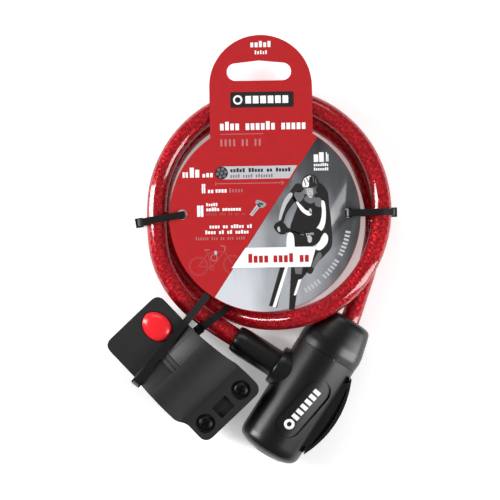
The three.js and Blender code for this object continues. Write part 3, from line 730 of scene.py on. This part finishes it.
def make_badge_mark():
    """A plain printed row on the badge: a ring, then bars of even height."""
    mark = prism("ring", [(x - 12.6, y) for x, y in stadium(6.4, 6.4, 16)], 6, 22, label_frame())
    hole = prism("ring_hole", [(x - 12.6, y) for x, y in stadium(3.0, 3.0, 12)], 5, 23, label_frame())
    carve(mark, hole)
    for i in range(6):
        start = -8.2 + 3.9 * i
        fuse(mark, prism(f"bar_{i}", box_outline(start, start + 2.7, -2.3, 2.3), 6, 22, label_frame()))
    carve(mark, inset_body("mark_low", 0.26))
    combined(mark, [inset_body("mark_high", 0.19)], "INTERSECT")
    mark.name = "badge_mark"
    paint(mark, WHITE_INK)
    return rides(mark, "lock_head", "badge_rubber")


def make_tongue():
    start, end, half = TONGUE["from"], TONGUE["to"], TONGUE["half"]
    edge = TONGUE["ends"] - 0.6

    def bow(top, low, high, count=40):
        control = 2 * top - TONGUE["ends"]
        shares = [i / count for i in range(count + 1)]
        return [(bent(edge, control, edge, t), low + (high - low) * t) for t in shares]

    slot = bow(TONGUE["bulge"] - TONGUE["rim"], start + 4, end - 4)
    rim = prism("tongue", bow(TONGUE["bulge"], start, end) + slot[::-1], -half, half, LOCK_FRAME, BLACK)
    below = bow(TONGUE["bulge"] - 0.3, start + 1, end - 1) + [(16, end - 5), (16, start + 5)]
    floor = prism("tongue_floor", below, -half, -1, LOCK_FRAME)
    fuse(rim, carve(floor, inset_body("body_side", -0.3)))
    beside = bow(TONGUE["shoulder"], start + 3, end - 3) + [(16, end - 6), (16, start + 6)]
    shoulder = prism("tongue_shoulder", beside, -half + 0.4, half - 0.4, LOCK_FRAME)
    fuse(rim, carve(shoulder, inset_body("shoulder_side", 0.4)))
    fuse(rim, block("web", 16.8, 23, 36, 46, -4, 4, LOCK_FRAME))
    rounded_edges(rim, 0.7, 3, 40)
    return rides(rim, "lock_head", "black_plastic", "mount_tongue")


def make_sleeve():
    sleeve = lathe("sleeve", eased(SLEEVE_PROFILE, 0.15, 0.9), PORT_FRAME, BLACK, 128)
    cable_bore = rod("cable_bore", 6.25, -54, -36, PORT_FRAME, 96)
    bolt_bore = rod("bolt_bore", 4.8, -30.3, -18, PORT_FRAME, 64)
    carve(sleeve, cable_bore, bolt_bore)
    shade(sleeve, 30)
    return rides(sleeve, "pack", "black_plastic", "plug_sleeve")


# ---------------- frame bracket
SADDLE = {"from": 24.5, "to": 63.8, "crown": 41.5, "bore": 16.3, "x": 44.15, "z": 22.8, "split": 1.2}
SCREWS = {"x": 74.8, "y": 4.0, "apart": 29.3, "recess": 6.0, "head": 4.25, "shank": 2.0, "foot": 8.6}
BUTTON = {"x": 12.4, "y": 8.3, "long": 9.8, "wide": 7.9}
GROOVES = {"first": -3.6, "apart": 2.9, "from": 26.4, "to": 39.0, "width": 0.6, "depth": 0.7}


def upright(outline, low, high, name, matrix, material=None):
    """An outline in X and Z drawn out along Y."""
    return prism(name, outline, -high, -low, matrix @ turned(90, "X"), material)


def saddle_arc():
    """Half the width, the radius and the middle's height of the saddle's arc."""
    half = (SADDLE["to"] - SADDLE["from"]) / 2
    rise = SADDLE["crown"] - BRACKET["face"]
    radius = (half ** 2 + rise ** 2) / (2 * rise)
    return half, radius, SADDLE["crown"] - radius


def bracket_section():
    face, sheet, start = BRACKET["face"], BRACKET["sheet"], BRACKET["start"]
    half, radius, middle = saddle_arc()
    sweep = math.degrees(math.asin(half / radius))
    low = SADDLE["z"] + SADDLE["split"]
    bore_angle = math.degrees(math.asin(SADDLE["split"] / SADDLE["bore"]))
    end = BRACKET["length"] + 1
    return [
        (start - 1, face - sheet), (SADDLE["from"] - 0.6, face - sheet), (SADDLE["from"] - 0.6, low),
        *arc(SADDLE["x"], SADDLE["z"], SADDLE["bore"], 180 - bore_angle, bore_angle, 48),
        (SADDLE["to"] + 0.7, low), (SADDLE["to"] + 0.7, face - 6), (end, face - 6), (end, face),
        (SADDLE["to"], face),
        *arc(SADDLE["x"], middle, radius, 90 - sweep, 90 + sweep, 64)[1:-1],
        (SADDLE["from"], face), (start - 1, face),
    ]


def bracket_plan():
    start, half, end = BRACKET["start"], BRACKET["half"], BRACKET["length"]
    low, high = FLANGE["low"], FLANGE["high"]
    corners = [(start, -half), (62, -half, 3), (67, low, 3), (end, low), (end, high),
               (FLANGE["flare"], high, 8), (SADDLE["from"] + 2, half, 3), (start, half)]
    return round_corners(corners, 6)


def screw_places():
    return [(SCREWS["x"], SCREWS["y"] + side * SCREWS["apart"] / 2) for side in (-1, 1)]


def oval(margin):
    long, wide = BUTTON["long"] + margin, BUTTON["wide"] + margin
    angles = [2 * math.pi * i / 72 for i in range(72)]
    return [(long * math.cos(a) + BUTTON["x"], wide * math.sin(a) + BUTTON["y"]) for a in angles]


def standing_rod(name, radius, x, y, low, high, sides=64, matrix=None):
    outline = [(x + px, y + py) for px, py in arc(0, 0, radius, 0, 360 - 360 / sides, sides - 1)]
    return prism(name, outline, low, high, matrix or BRACKET_FRAME)


def make_bracket():
    face = BRACKET["face"]
    front = upright(bracket_section(), -30, 30, "bracket", BRACKET_FRAME, BLACK_TEXTURED)
    combined(front, [prism("plan", bracket_plan(), 10, 50, BRACKET_FRAME)], "INTERSECT")
    rounded_edges(front, 0.8, 3, 28)
    finished(front)
    cuts = []
    for i, (x, y) in enumerate(screw_places()):
        cuts.append(standing_rod(f"recess_{i}", SCREWS["recess"], x, y, face - 3.4, face + 2))
        cuts.append(standing_rod(f"hole_{i}", SCREWS["shank"] + 0.3, x, y, face - 8, face))
    cuts.append(prism("pocket", box_outline(70.6, 79.6, -1.5, 9.5, 0.8), face - 4, face + 1, BRACKET_FRAME))
    cuts.append(prism("button_hole", oval(0.4), face - 5, face + 1, BRACKET_FRAME))
    for i in range(3):
        cuts.append(groove(f"groove_{i}", GROOVES["first"] + GROOVES["apart"] * i))
    carve(front, *cuts)
    shade(front, 30)
    even_normals(front)
    return rides(front, "pack", "bracket_plastic", "bracket_front")


def groove(name, y):
    """A grip groove that follows the saddle's arc at an even depth."""
    _, radius, middle = saddle_arc()
    start, end = (math.degrees(math.acos((GROOVES[key] - SADDLE["x"]) / radius)) for key in ("from", "to"))
    outline = arc(SADDLE["x"], middle, radius + 1, start, end, 16)
    outline += arc(SADDLE["x"], middle, radius - GROOVES["depth"], end, start, 16)
    return upright(outline, y - GROOVES["width"] / 2, y + GROOVES["width"] / 2, name, BRACKET_FRAME)


def make_button():
    """A lens-shaped push pad on its stem."""
    profile = [(0, 30.1), (1, 30.1), (1, 33.2), (0.985, 33.7), (0.93, 34.4), (0.8, 35.15), (0.6, 35.75),
               (0.35, 36.1), (0, 36.2)]
    stretched = Matrix.Diagonal((BUTTON["long"], BUTTON["wide"], 1, 1))
    place = BRACKET_FRAME @ moved(BUTTON["x"], BUTTON["y"]) @ stretched @ turned(90, "X")
    pad = lathe("button_pad", profile, place, RED_BUTTON, 96, 1.0, 50)
    fuse(pad, standing_rod("stem", 1.8, BUTTON["x"], BUTTON["y"], 27, 31))
    shade(pad, 50)
    return rides(pad, "button", "button_red", "release_button")


def make_screw(number, x, y):
    face = BRACKET["face"]
    head, shank, foot = SCREWS["head"], SCREWS["shank"], SCREWS["foot"]
    profile = [(0, foot), (shank - 0.4, foot), (shank, foot + 0.6)]
    pitch = 1.0
    thread_top = face - 8
    z = foot + 1.2
    while z < thread_top:
        profile += [(shank - 0.3, z), (shank, z + pitch / 2)]
        z += pitch
    profile += [(shank, thread_top + 1), (shank, face - 3.1), (head, face - 3.1), (head, face - 1.6)]
    profile += [(head * math.cos(a), face - 1.6 + 1.2 * math.sin(a)) for a in (0.3, 0.6, 0.9, 1.2)]
    profile += [(0, face - 0.4)]
    place = BRACKET_FRAME @ moved(x, y) @ turned(90, "X")
    screw = lathe(f"screw_{number}_steel", profile, place, BLACK_STEEL, 64, 1.0, 30)
    turn = BRACKET_FRAME @ moved(x, y) @ turned(27 + 41 * number)
    slot_a = block("slot_a", -0.55, 0.55, -2.5, 2.5, face - 2.2, face + 1, turn)
    slot_b = block("slot_b", -2.5, 2.5, -0.55, 0.55, face - 2.2, face + 1, turn)
    carve(screw, slot_a, slot_b)
    shade(screw, 30)
    return rides(screw, f"screw_{number}", "black_steel", f"clamp_screw_{number}")


# ---------------- CAD pieces that keep their shape
NODE_EDGES = [
    (STEEL, {
        "keyhole_bezel": 0.3, "rotor_cam": 0.2, "latch_plate": 0.2, "latch_spring": 0, "port_liner": 0.1,
        "cable_anchor": 0.25, "anchor_pin": 0.2, "plug_bolt": 0.2, "clamp_nut_1": 0.25, "clamp_nut_2": 0.25,
        "button_spring": 0, "release_catch": 0.2, "key_1_blade": 0.12, "key_2_blade": 0.12,
        **{f"rotor_wafer_{i}": 0.08 for i in range(1, 6)},
    }),
    (BRASS, {"cylinder_housing": 0.25, "key_rotor": 0.15}),
    (BLACK, {"latch_guide": 0.25, "key_1_bow": 0.5, "key_2_bow": 0.5}),
    (BLACK_TEXTURED, {"bracket_rear_jaw": 0.5, "tongue_receiver": 0.4}),
    (BLACK_NYLON, {"tie_left": 0.25, "tie_right": 0.25, "tie_bracket": 0.3, "tie_cable": 0.3}),
    (RUBBER, {"tube_pad_front": 0.3, "tube_pad_rear": 0.3}),
]


def paint(thing, material):
    thing.data.materials.clear()
    thing.data.materials.append(material)


def dress_nodes():
    """Material and a small bevel, given in millimetres, for each CAD piece."""
    pairs = [(material, *pair) for material, edges in NODE_EDGES for pair in edges.items()]
    for material, name, edge in pairs:
        node = bpy.data.objects[name]
        paint(node, material)
        if edge:
            bevelled(node, edge, 2, 38)
            even_normals(node)


def make_card():
    paint(bpy.data.objects["card"], RED_INK)


# ---------------- card artwork
CARD_TOP = 27.0
INK_STEP = 0.03
TIE_HOLES = [(-50.2, 2.0), (50.7, 1.4)]
TIE_HOLE_RADIUS = 3.1
ART_FRAME = CARD_FRAME @ moved(-DISC["x"], -DISC["y"])


def closed_curve(points, per_span=6):
    """Smooth closed outline through the points."""
    out = []
    count = len(points)
    for i in range(count):
        p0, p1, p2, p3 = (Vector(points[(i + k) % count]) for k in (-1, 0, 1, 2))
        for k in range(per_span):
            t = k / per_span
            out.append(tuple(0.5 * (2 * p1 + (p2 - p0) * t + (2 * p0 - 5 * p1 + 4 * p2 - p3) * t * t
                                    + (3 * p1 - p0 - 3 * p2 + p3) * t ** 3)))
    return out


class Print:
    """Flat ink shapes on the card, gathered by ink and by the order they were laid down."""

    def __init__(self):
        self.layers = {}
        self.origin = (0, 0)  # where a drawing's own zero lies on the card

    def shape(self, ink_used, level, outline):
        x0, y0 = self.origin
        placed = [(x0 + x, y0 + y) for x, y in outline]
        self.layers.setdefault((level, ink_used.name), (ink_used, []))[1].append(placed)

    def blot(self, ink_used, level, *points):
        self.shape(ink_used, level, closed_curve(points))

    def bar(self, ink_used, level, x0, x1, y0, y1, radius=0.0):
        self.shape(ink_used, level, box_outline(x0, x1, y0, y1, radius, 4))

    def line(self, ink_used, level, width, *points):
        for a, b in zip(points, points[1:]):
            a, b = Vector(a), Vector(b)
            side = (b - a).orthogonal().normalized() * width / 2
            self.shape(ink_used, level, [tuple(p) for p in (a - side, b - side, b + side, a + side)])

    def disc(self, ink_used, level, x, y, radius):
        self.shape(ink_used, level, arc(x, y, radius, 0, 348, 29))

    def ring(self, ink_used, level, x, y, radius, width):
        outline = arc(x, y, radius + width / 2, 0, 359, 48) + arc(x, y, radius - width / 2, 359, 0, 48)
        self.shape(ink_used, level, outline)

    def words(self, ink_used, level, x0, x1, y0, y1, pitch=0.62, fill=0.7, lean=0.0):
        """Blocks standing for a line of letters, with gaps between words."""
        width = (y1 - y0) * pitch
        count = max(2, round((x1 - x0) / width))
        width = (x1 - x0) / count
        gap = random.randint(4, 6)
        for i in range(count):
            if i == gap and i < count - 2:
                gap += random.randint(3, 7)
                continue
            tall = y1 if random.random() < 0.35 else y0 + 0.78 * (y1 - y0)
            rise = lean * i
            self.bar(ink_used, level, x0 + i * width, x0 + (i + fill) * width, y0 + rise, tall + rise)

    def make(self):
        pieces = []
        for (level, name), (ink_used, outlines) in sorted(self.layers.items()):
            low = CARD_TOP + 0.01 + INK_STEP * level
            vertices, faces = [], []
            for outline in outlines:
                start, count = len(vertices), len(outline)
                vertices += [(x, y, z) for z in (low, low + 0.6 * INK_STEP) for x, y in outline]
                top = start + count
                faces.append([start + i for i in range(count)][::-1])
                faces.append([top + i for i in range(count)])
                for i in range(count):
                    j = (i + 1) % count
                    faces.append([start + i, start + j, top + j, top + i])
            piece = outward(new_object(f"print_{level}_{name}", vertices, faces, ART_FRAME, ink_used, 30))
            pieces.append(rides(piece, "pack", "card_stock"))
        return pieces


SLANT = {"top": (42.0, 68.3), "foot": (-22.0, -28.0)}  # where the red field meets the picture


def picture_outline():
    """The part of the disc to the right of the slanting edge."""
    edge_radius = DISC["radius"] - 0.35
    top, foot = (math.degrees(math.atan2(y - DISC["y"], x - DISC["x"])) for x, y in SLANT.values())
    return arc(DISC["x"], DISC["y"], edge_radius, foot, top, 96)


def print_heading(page):
    page.words(WHITE_INK, 2, 2, 15, 122.9, 126.6, 0.7)
    page.words(WHITE_INK, 2, 4.6, 12.6, 118.6, 121, 0.7, 0.55)
    page.bar(BLACK_INK, 2, -10.6, 27.6, 86.5, 95.9, 0.6)
    page.ring(WHITE_INK, 3, -6.2, 91.2, 2.3, 1.1)
    for i in range(6):
        page.bar(WHITE_INK, 3, -1.6 + 4.5 * i, 1.9 + 4.5 * i, 88.9, 93.5)
    page.words(WHITE_INK, 2, -17.2, 35.4, 72.9, 78, 0.62, 0.72)
    page.bar(PINK_INK, 2, -17.2, 9, 70.3, 70.7)
    page.words(PINK_INK, 2, -17.2, 8.6, 63.2, 68.6, 0.5, 0.5)


def print_cable_facts(page):
    page.words(WHITE_INK, 2, -40.4, -36.6, 44.6, 48.8, 0.7)
    page.words(WHITE_INK, 2, -36, -29.4, 44.6, 50.6, 0.5, 0.74)
    page.words(WHITE_INK, 2, -28.4, -21.4, 44.6, 47.2, 0.9)
    page.shape(GREY_INKS[214], 2, [(-16.6, 43.2), (24.3, 43.2), (29.2, 51), (-16.6, 51)])
    page.disc(GREY_INKS[34], 3, -16.8, 47.1, 3.9)
    for i in range(6):
        angle = math.radians(60 * i + 12)
        page.disc(GREY_INKS[120], 4, -16.8 + 2.5 * math.cos(angle), 47.1 + 2.5 * math.sin(angle), 0.95)
    page.disc(GREY_INKS[120], 4, -16.8, 47.1, 0.95)
    page.words(GREY_INKS[34], 3, -11.4, 25.4, 47.4, 49.8, 0.75, 0.72)
    page.words(GREY_INKS[120], 3, -11.4, 14.8, 44, 46.2, 0.7, 0.5)
    page.line(PINK_INK, 2, 0.45, (-20.4, 40.6), (20.8, 40.6))
    page.line(PINK_INK, 2, 0.45, (-20.4, 39.4), (-20.4, 41.8))
    page.line(PINK_INK, 2, 0.5, (19.4, 41.8), (21, 40.6), (19.4, 39.4))
    page.words(WHITE_INK, 2, -28.9, -26.6, 35, 40.6, 0.4, 0.8)
    page.words(WHITE_INK, 2, -25.2, -21.4, 35, 37.6, 0.9)
    page.words(WHITE_INK, 2, -20.6, -13.4, 35.2, 37.8, 0.7)
    page.words(PINK_INK, 2, -12.2, -3.4, 35.2, 37.8, 0.7, 0.5)


def print_key_facts(page):
    page.words(WHITE_INK, 2, -32, -27.9, 20.8, 27.6, 0.56, 0.86)
    page.words(WHITE_INK, 2, -26.4, -19.2, 27.1, 29, 0.75)
    page.words(WHITE_INK, 2, -26.4, -5.2, 24.1, 26.2, 0.75, 0.8)
    page.words(PALE_RED_INK, 2, -26.4, -2.2, 21.4, 23.2, 0.75, 0.6)
    page.shape(GREY_INKS[214], 3, [(-0.2, 21.6), (1.4, 20.6), (6.6, 26.6), (4.6, 28.2)])
    page.line(GREY_INKS[120], 4, 0.4, (1.2, 21.8), (5.2, 26.4))
    page.shape(GREY_INKS[172], 3, closed_curve([(3.4, 28.9), (5, 30.4), (9.6, 28.4), (9.4, 26.6),
               (6.4, 25.6)]))
    page.shape(GREY_INKS[70], 4, closed_curve([(5.4, 28.8), (8, 28.2), (7.8, 27.4), (5.6, 27.6)]))
    page.words(WHITE_INK, 2, -24.6, 1.4, 13.6, 15.8, 0.75, 0.72)
    page.words(WHITE_INK, 2, -27.2, -0.6, 10.2, 12.4, 0.75, 0.72)
    page.words(PINK_INK, 2, -33, -2.8, 6.6, 8.6, 0.7, 0.5)


def print_bicycle(page):
    """A line drawing of a bicycle with the lock on its frame."""
    rear, front, crank, seat, head = (-31.6, -9.2), (-11, -8.4), (-23.8, -10), (-26, -1.4), (-15.8, -0.4)
    for wheel in (rear, front):
        page.ring(PALE_RED_INK, 0, *wheel, 5.6, 0.35)
        page.ring(PALE_RED_INK, 0, *wheel, 4.9, 0.2)
    for a, b in ((rear, seat), (rear, crank), (crank, seat), (crank, head), (seat, head), (head, front)):
        page.line(PALE_RED_INK, 0, 0.45, a, b)
    page.line(PINK_INK, 0, 0.5, (-28.2, 0.6), (-24.8, 0.8))
    page.line(PALE_RED_INK, 0, 0.4, seat, (-26.6, 0.8))
    page.line(PINK_INK, 0, 0.5, head, (-15.2, 2.4), (-18, 3.2))
    page.ring(PINK_INK, 1, -22.2, -4.2, 1.9, 0.5)
    page.bar(GREY_INKS[214], 1, -22, -20.4, -2.6, 0, 0.4)
    page.ring(PALE_RED_INK, 1, *crank, 1.3, 0.4)


def print_rider(page):
    """A made-up cyclist seen from the front, leaning over the handlebar."""
    dark, deep, mid, pale, light = GREY_INKS[34], BLACK_INK, GREY_INKS[120], GREY_INKS[214], WHITE_INK
    # machine
    page.shape(deep, 3, [(18.4, -8), (22.2, -8), (15.4, -35.2), (10.6, -33.8)])
    page.shape(light, 4, [(21.6, -8), (23.4, -8), (14.8, -34.6), (12.6, -34.8)])
    page.shape(deep, 3, [(24.6, -8), (34.6, -8), (33.6, -14.6), (28.6, -20.4), (26, -36.4), (22.6, -36.4)])
    page.shape(light, 4, [(28.6, -18.4), (30.6, -17.8), (27.2, -27.6), (25.6, -27.8)])
    page.shape(mid, 4, [(26.2, -10), (31.4, -10.4), (30.6, -15), (27, -14.8)])
    # legs
    page.blot(dark, 3, (47.6, 28), (49.4, 12), (49.2, 2), (45.4, -3.4), (40, -8.6), (36.6, -14.8),
              (33.2, -12.6), (36.8, -4.8), (40.6, 3.4), (43, 14), (44, 26))
    page.blot(light, 4, (44.8, 9.6), (47, 7.4), (46.2, 3), (42.2, -0.6), (39.2, 0.4), (41.4, 4.6))
    page.blot(mid, 4, (41.6, -1.8), (43, -4.2), (40.2, -8.6), (38, -11.6), (37.2, -9.6), (39, -5.2))
    # bars, hub and fork crown
    page.blot(deep, 4, (20.2, 14.8), (24.6, 12.4), (32.6, 9.6), (40.4, 8.6), (43.4, 10.4), (41.8, 4.6),
              (36, 1.4), (27.4, 1.8), (24.2, 9), (20, 11.8))
    page.blot(light, 5, (22.6, 9.6), (26, 9), (26.6, 1), (24.6, -0.4), (21.8, -0.2))
    page.blot(pale, 5, (35.4, 8.8), (37.2, 7.2), (36.8, 4.4), (35.2, 4.2), (34.6, 6.6))
    page.line(mid, 5, 0.7, (24.2, 11.8), (32.4, 8.6))
    page.line(pale, 5, 0.5, (33.6, 11.2), (34.6, 7))
    # trunk
    page.blot(deep, 5, (26.2, 31.6), (31, 33.6), (38, 33), (44.6, 35.2), (47.4, 33), (48, 24), (47.4, 16),
              (43.6, 13.4), (40.6, 10.8), (34, 9.6), (26.4, 9.4), (24.2, 12.8), (26.6, 20.4), (28.6, 26.2))
    page.blot(mid, 6, (27, 34), (30.6, 35.2), (33.2, 33), (31.2, 29.2), (28.6, 29.4))
    page.blot(light, 6, (28.2, 28.2), (29.4, 28.6), (33.6, 24), (36.8, 22.8), (37.2, 20.8), (34.8, 20.6),
              (31, 23.4))
    page.blot(pale, 6, (36, 24.4), (37.2, 24.4), (37.4, 21.8), (36.2, 21.8))
    page.blot(mid, 6, (40, 31), (43.2, 30.4), (42.8, 25.6), (39.6, 26.8))
    # arms and gloves
    page.blot(dark, 5, (28, 39.4), (30.4, 38), (30, 32.4), (25.4, 26.6), (22, 21.8), (20.2, 16.8),
              (17.6, 17.2), (18.6, 23), (21.2, 30.2), (24.6, 35.4))
    page.blot(pale, 6, (24.4, 34.4), (26, 33), (22.4, 27.4), (20.2, 22.4), (18.6, 18), (17.4, 18.4),
              (18.4, 23.6), (20.8, 30))
    page.blot(deep, 7, (16, 16.4), (19.6, 16.8), (22.2, 13.6), (21.6, 9.8), (17.6, 9.6), (14.4, 13.4))
    page.blot(pale, 8, (16.4, 13.2), (17.6, 14), (18.2, 11), (17, 11.2))
    page.blot(light, 6, (43.2, 29), (45.4, 28.2), (46, 20), (44.8, 13.4), (42, 10.2), (40, 12),
              (42.4, 16.2), (43.6, 22.4))
    page.blot(deep, 7, (39.8, 12.6), (42.8, 11.2), (43.6, 8), (40.4, 6.8), (38.4, 9.6))
    # shoulders and neck
    page.blot(deep, 6, (42.4, 40), (45.8, 37.2), (47.6, 32.4), (44.2, 29.6), (41.2, 33.4), (40.2, 37.4))
    page.blot(dark, 6, (27, 38.8), (30.2, 40), (33, 37), (30.8, 34.6), (27.8, 35.2))
    page.blot(mid, 7, (34.2, 32.2), (38.8, 32), (40.2, 29.6), (36.8, 27.6), (33.2, 29.8))
    print_head(page, (36.9, 35))


def print_head(page, middle):
    """Helmet over a calm, even face: eyes at mid height, nose and mouth a third and two thirds below."""
    page.origin = middle
    dark, mid, pale, light, deep = GREY_INKS[34], GREY_INKS[120], GREY_INKS[214], WHITE_INK, BLACK_INK
    page.blot(pale, 8, (-2.7, 3.6), (2.7, 3.6), (2.75, -0.4), (1.7, -3), (0, -4.1), (-1.7, -3),
              (-2.75, -0.4))
    page.blot(mid, 9, (1.3, 3.4), (2.7, 3.4), (2.75, -0.4), (1.6, -3), (1.1, -3.4), (1.7, -0.4))
    for side in (-1, 1):
        eye = 1.15 * side
        page.blot(light, 10, (eye - 0.62, 0), (eye, 0.3), (eye + 0.62, 0), (eye, -0.26))
        page.disc(deep, 11, eye, 0.02, 0.25)
        page.line(dark, 10, 0.22, (eye - 0.72, 0.72), (eye, 0.95), (eye + 0.72, 0.72))
        page.line(dark, 9, 0.24, (2.75 * side, 2.4), (1.9 * side, -2.6), (0.5 * side, -4.3))
    page.line(mid, 10, 0.2, (0.1, -0.1), (-0.4, -1.3), (0.35, -1.42))
    page.line(dark, 10, 0.22, (-0.85, -2.25), (0, -2.32), (0.85, -2.25))
    page.line(mid, 10, 0.2, (-0.45, -2.68), (0.45, -2.68))
    page.blot(dark, 12, (-5, 3), (-4.8, 7.2), (-1.6, 9.9), (2.6, 9.6), (5, 6.4), (5, 2.8), (3.4, 2.2),
              (2.6, 1.9), (-2.6, 1.9), (-3.6, 2.2))
    page.blot(light, 13, (-4.7, 3), (-4.3, 6.8), (-2.2, 8.8), (0.4, 9.5), (-0.8, 7.2), (-1, 3.4),
              (-2.6, 2.5))
    for start, end in (((-3.7, 7.2), (-2.7, 3.6)), ((-2.3, 8.4), (-1.1, 5.6)), ((-0.5, 9), (0.6, 5.8))):
        page.line(deep, 14, 0.55, start, end)
    for start, end in (((1.6, 9), (2.1, 5.4)), ((3.3, 7.8), (3.5, 4.2))):
        page.line(mid, 14, 0.5, start, end)
    page.line(mid, 14, 0.35, (-4.2, 2.9), (0, 2.1), (4.4, 2.8))
    page.origin = (0, 0)


def print_picture_words(page):
    page.shape(WHITE_INK, 15, [(-3, 1.6), (39.8, 1.6), (36.2, -10.6), (-11.6, -10.6)])
    page.words(RED_INK, 16, -1.4, 11.4, -7.6, -2.2, 0.62, 0.72)
    page.words(RED_INK, 16, 13.8, 36, -7.6, -2.2, 0.62, 0.72)
    page.words(WHITE_INK, 3, 39.2, 45.8, 52.8, 58.6, 0.56, 0.84)
    page.words(WHITE_INK, 3, 46.6, 48.4, 53, 58.6, 0.2, 0.7)
    page.words(WHITE_INK, 3, 39.2, 48.2, 50.2, 52, 0.6)
    page.words(WHITE_INK, 3, 39.2, 48.2, 47.6, 49.4, 0.6)
    for i in range(20):
        if i in (5, 12):
            continue
        a = math.radians(-62 + 2.65 * i)
        inner = Vector((DISC["x"] + 49.6 * math.cos(a), DISC["y"] + 49.6 * math.sin(a)))
        outer = inner + Vector((math.cos(a), math.sin(a))) * 3.1
        page.line(GREY_INKS[214], 3, 1.3, inner, outer)


def make_artwork():
    page = Print()
    page.shape(BACKDROP, 2, picture_outline())
    print_heading(page)
    print_cable_facts(page)
    print_key_facts(page)
    print_bicycle(page)
    print_rider(page)
    print_picture_words(page)
    backdrop = next(piece for piece in page.make() if piece.data.materials[0] == BACKDROP)
    x, y = TIE_HOLES[1]
    carve(backdrop, standing_rod("tie_hole", TIE_HOLE_RADIUS, x, y, 20, 40, 48, CARD_FRAME))


bpy.context.scene.view_settings.view_transform = "Standard"
make_camera()
make_light()
make_floor(FLOOR)
sheath, braid = make_cable()
sleeve = make_sleeve()
make_lock_body()
make_end_cap()
make_badge()
make_badge_mark()
make_tongue()
make_bracket()
make_button()
for number, place in enumerate(screw_places(), 1):
    make_screw(number, *place)
make_card()
make_artwork()
dress_nodes()
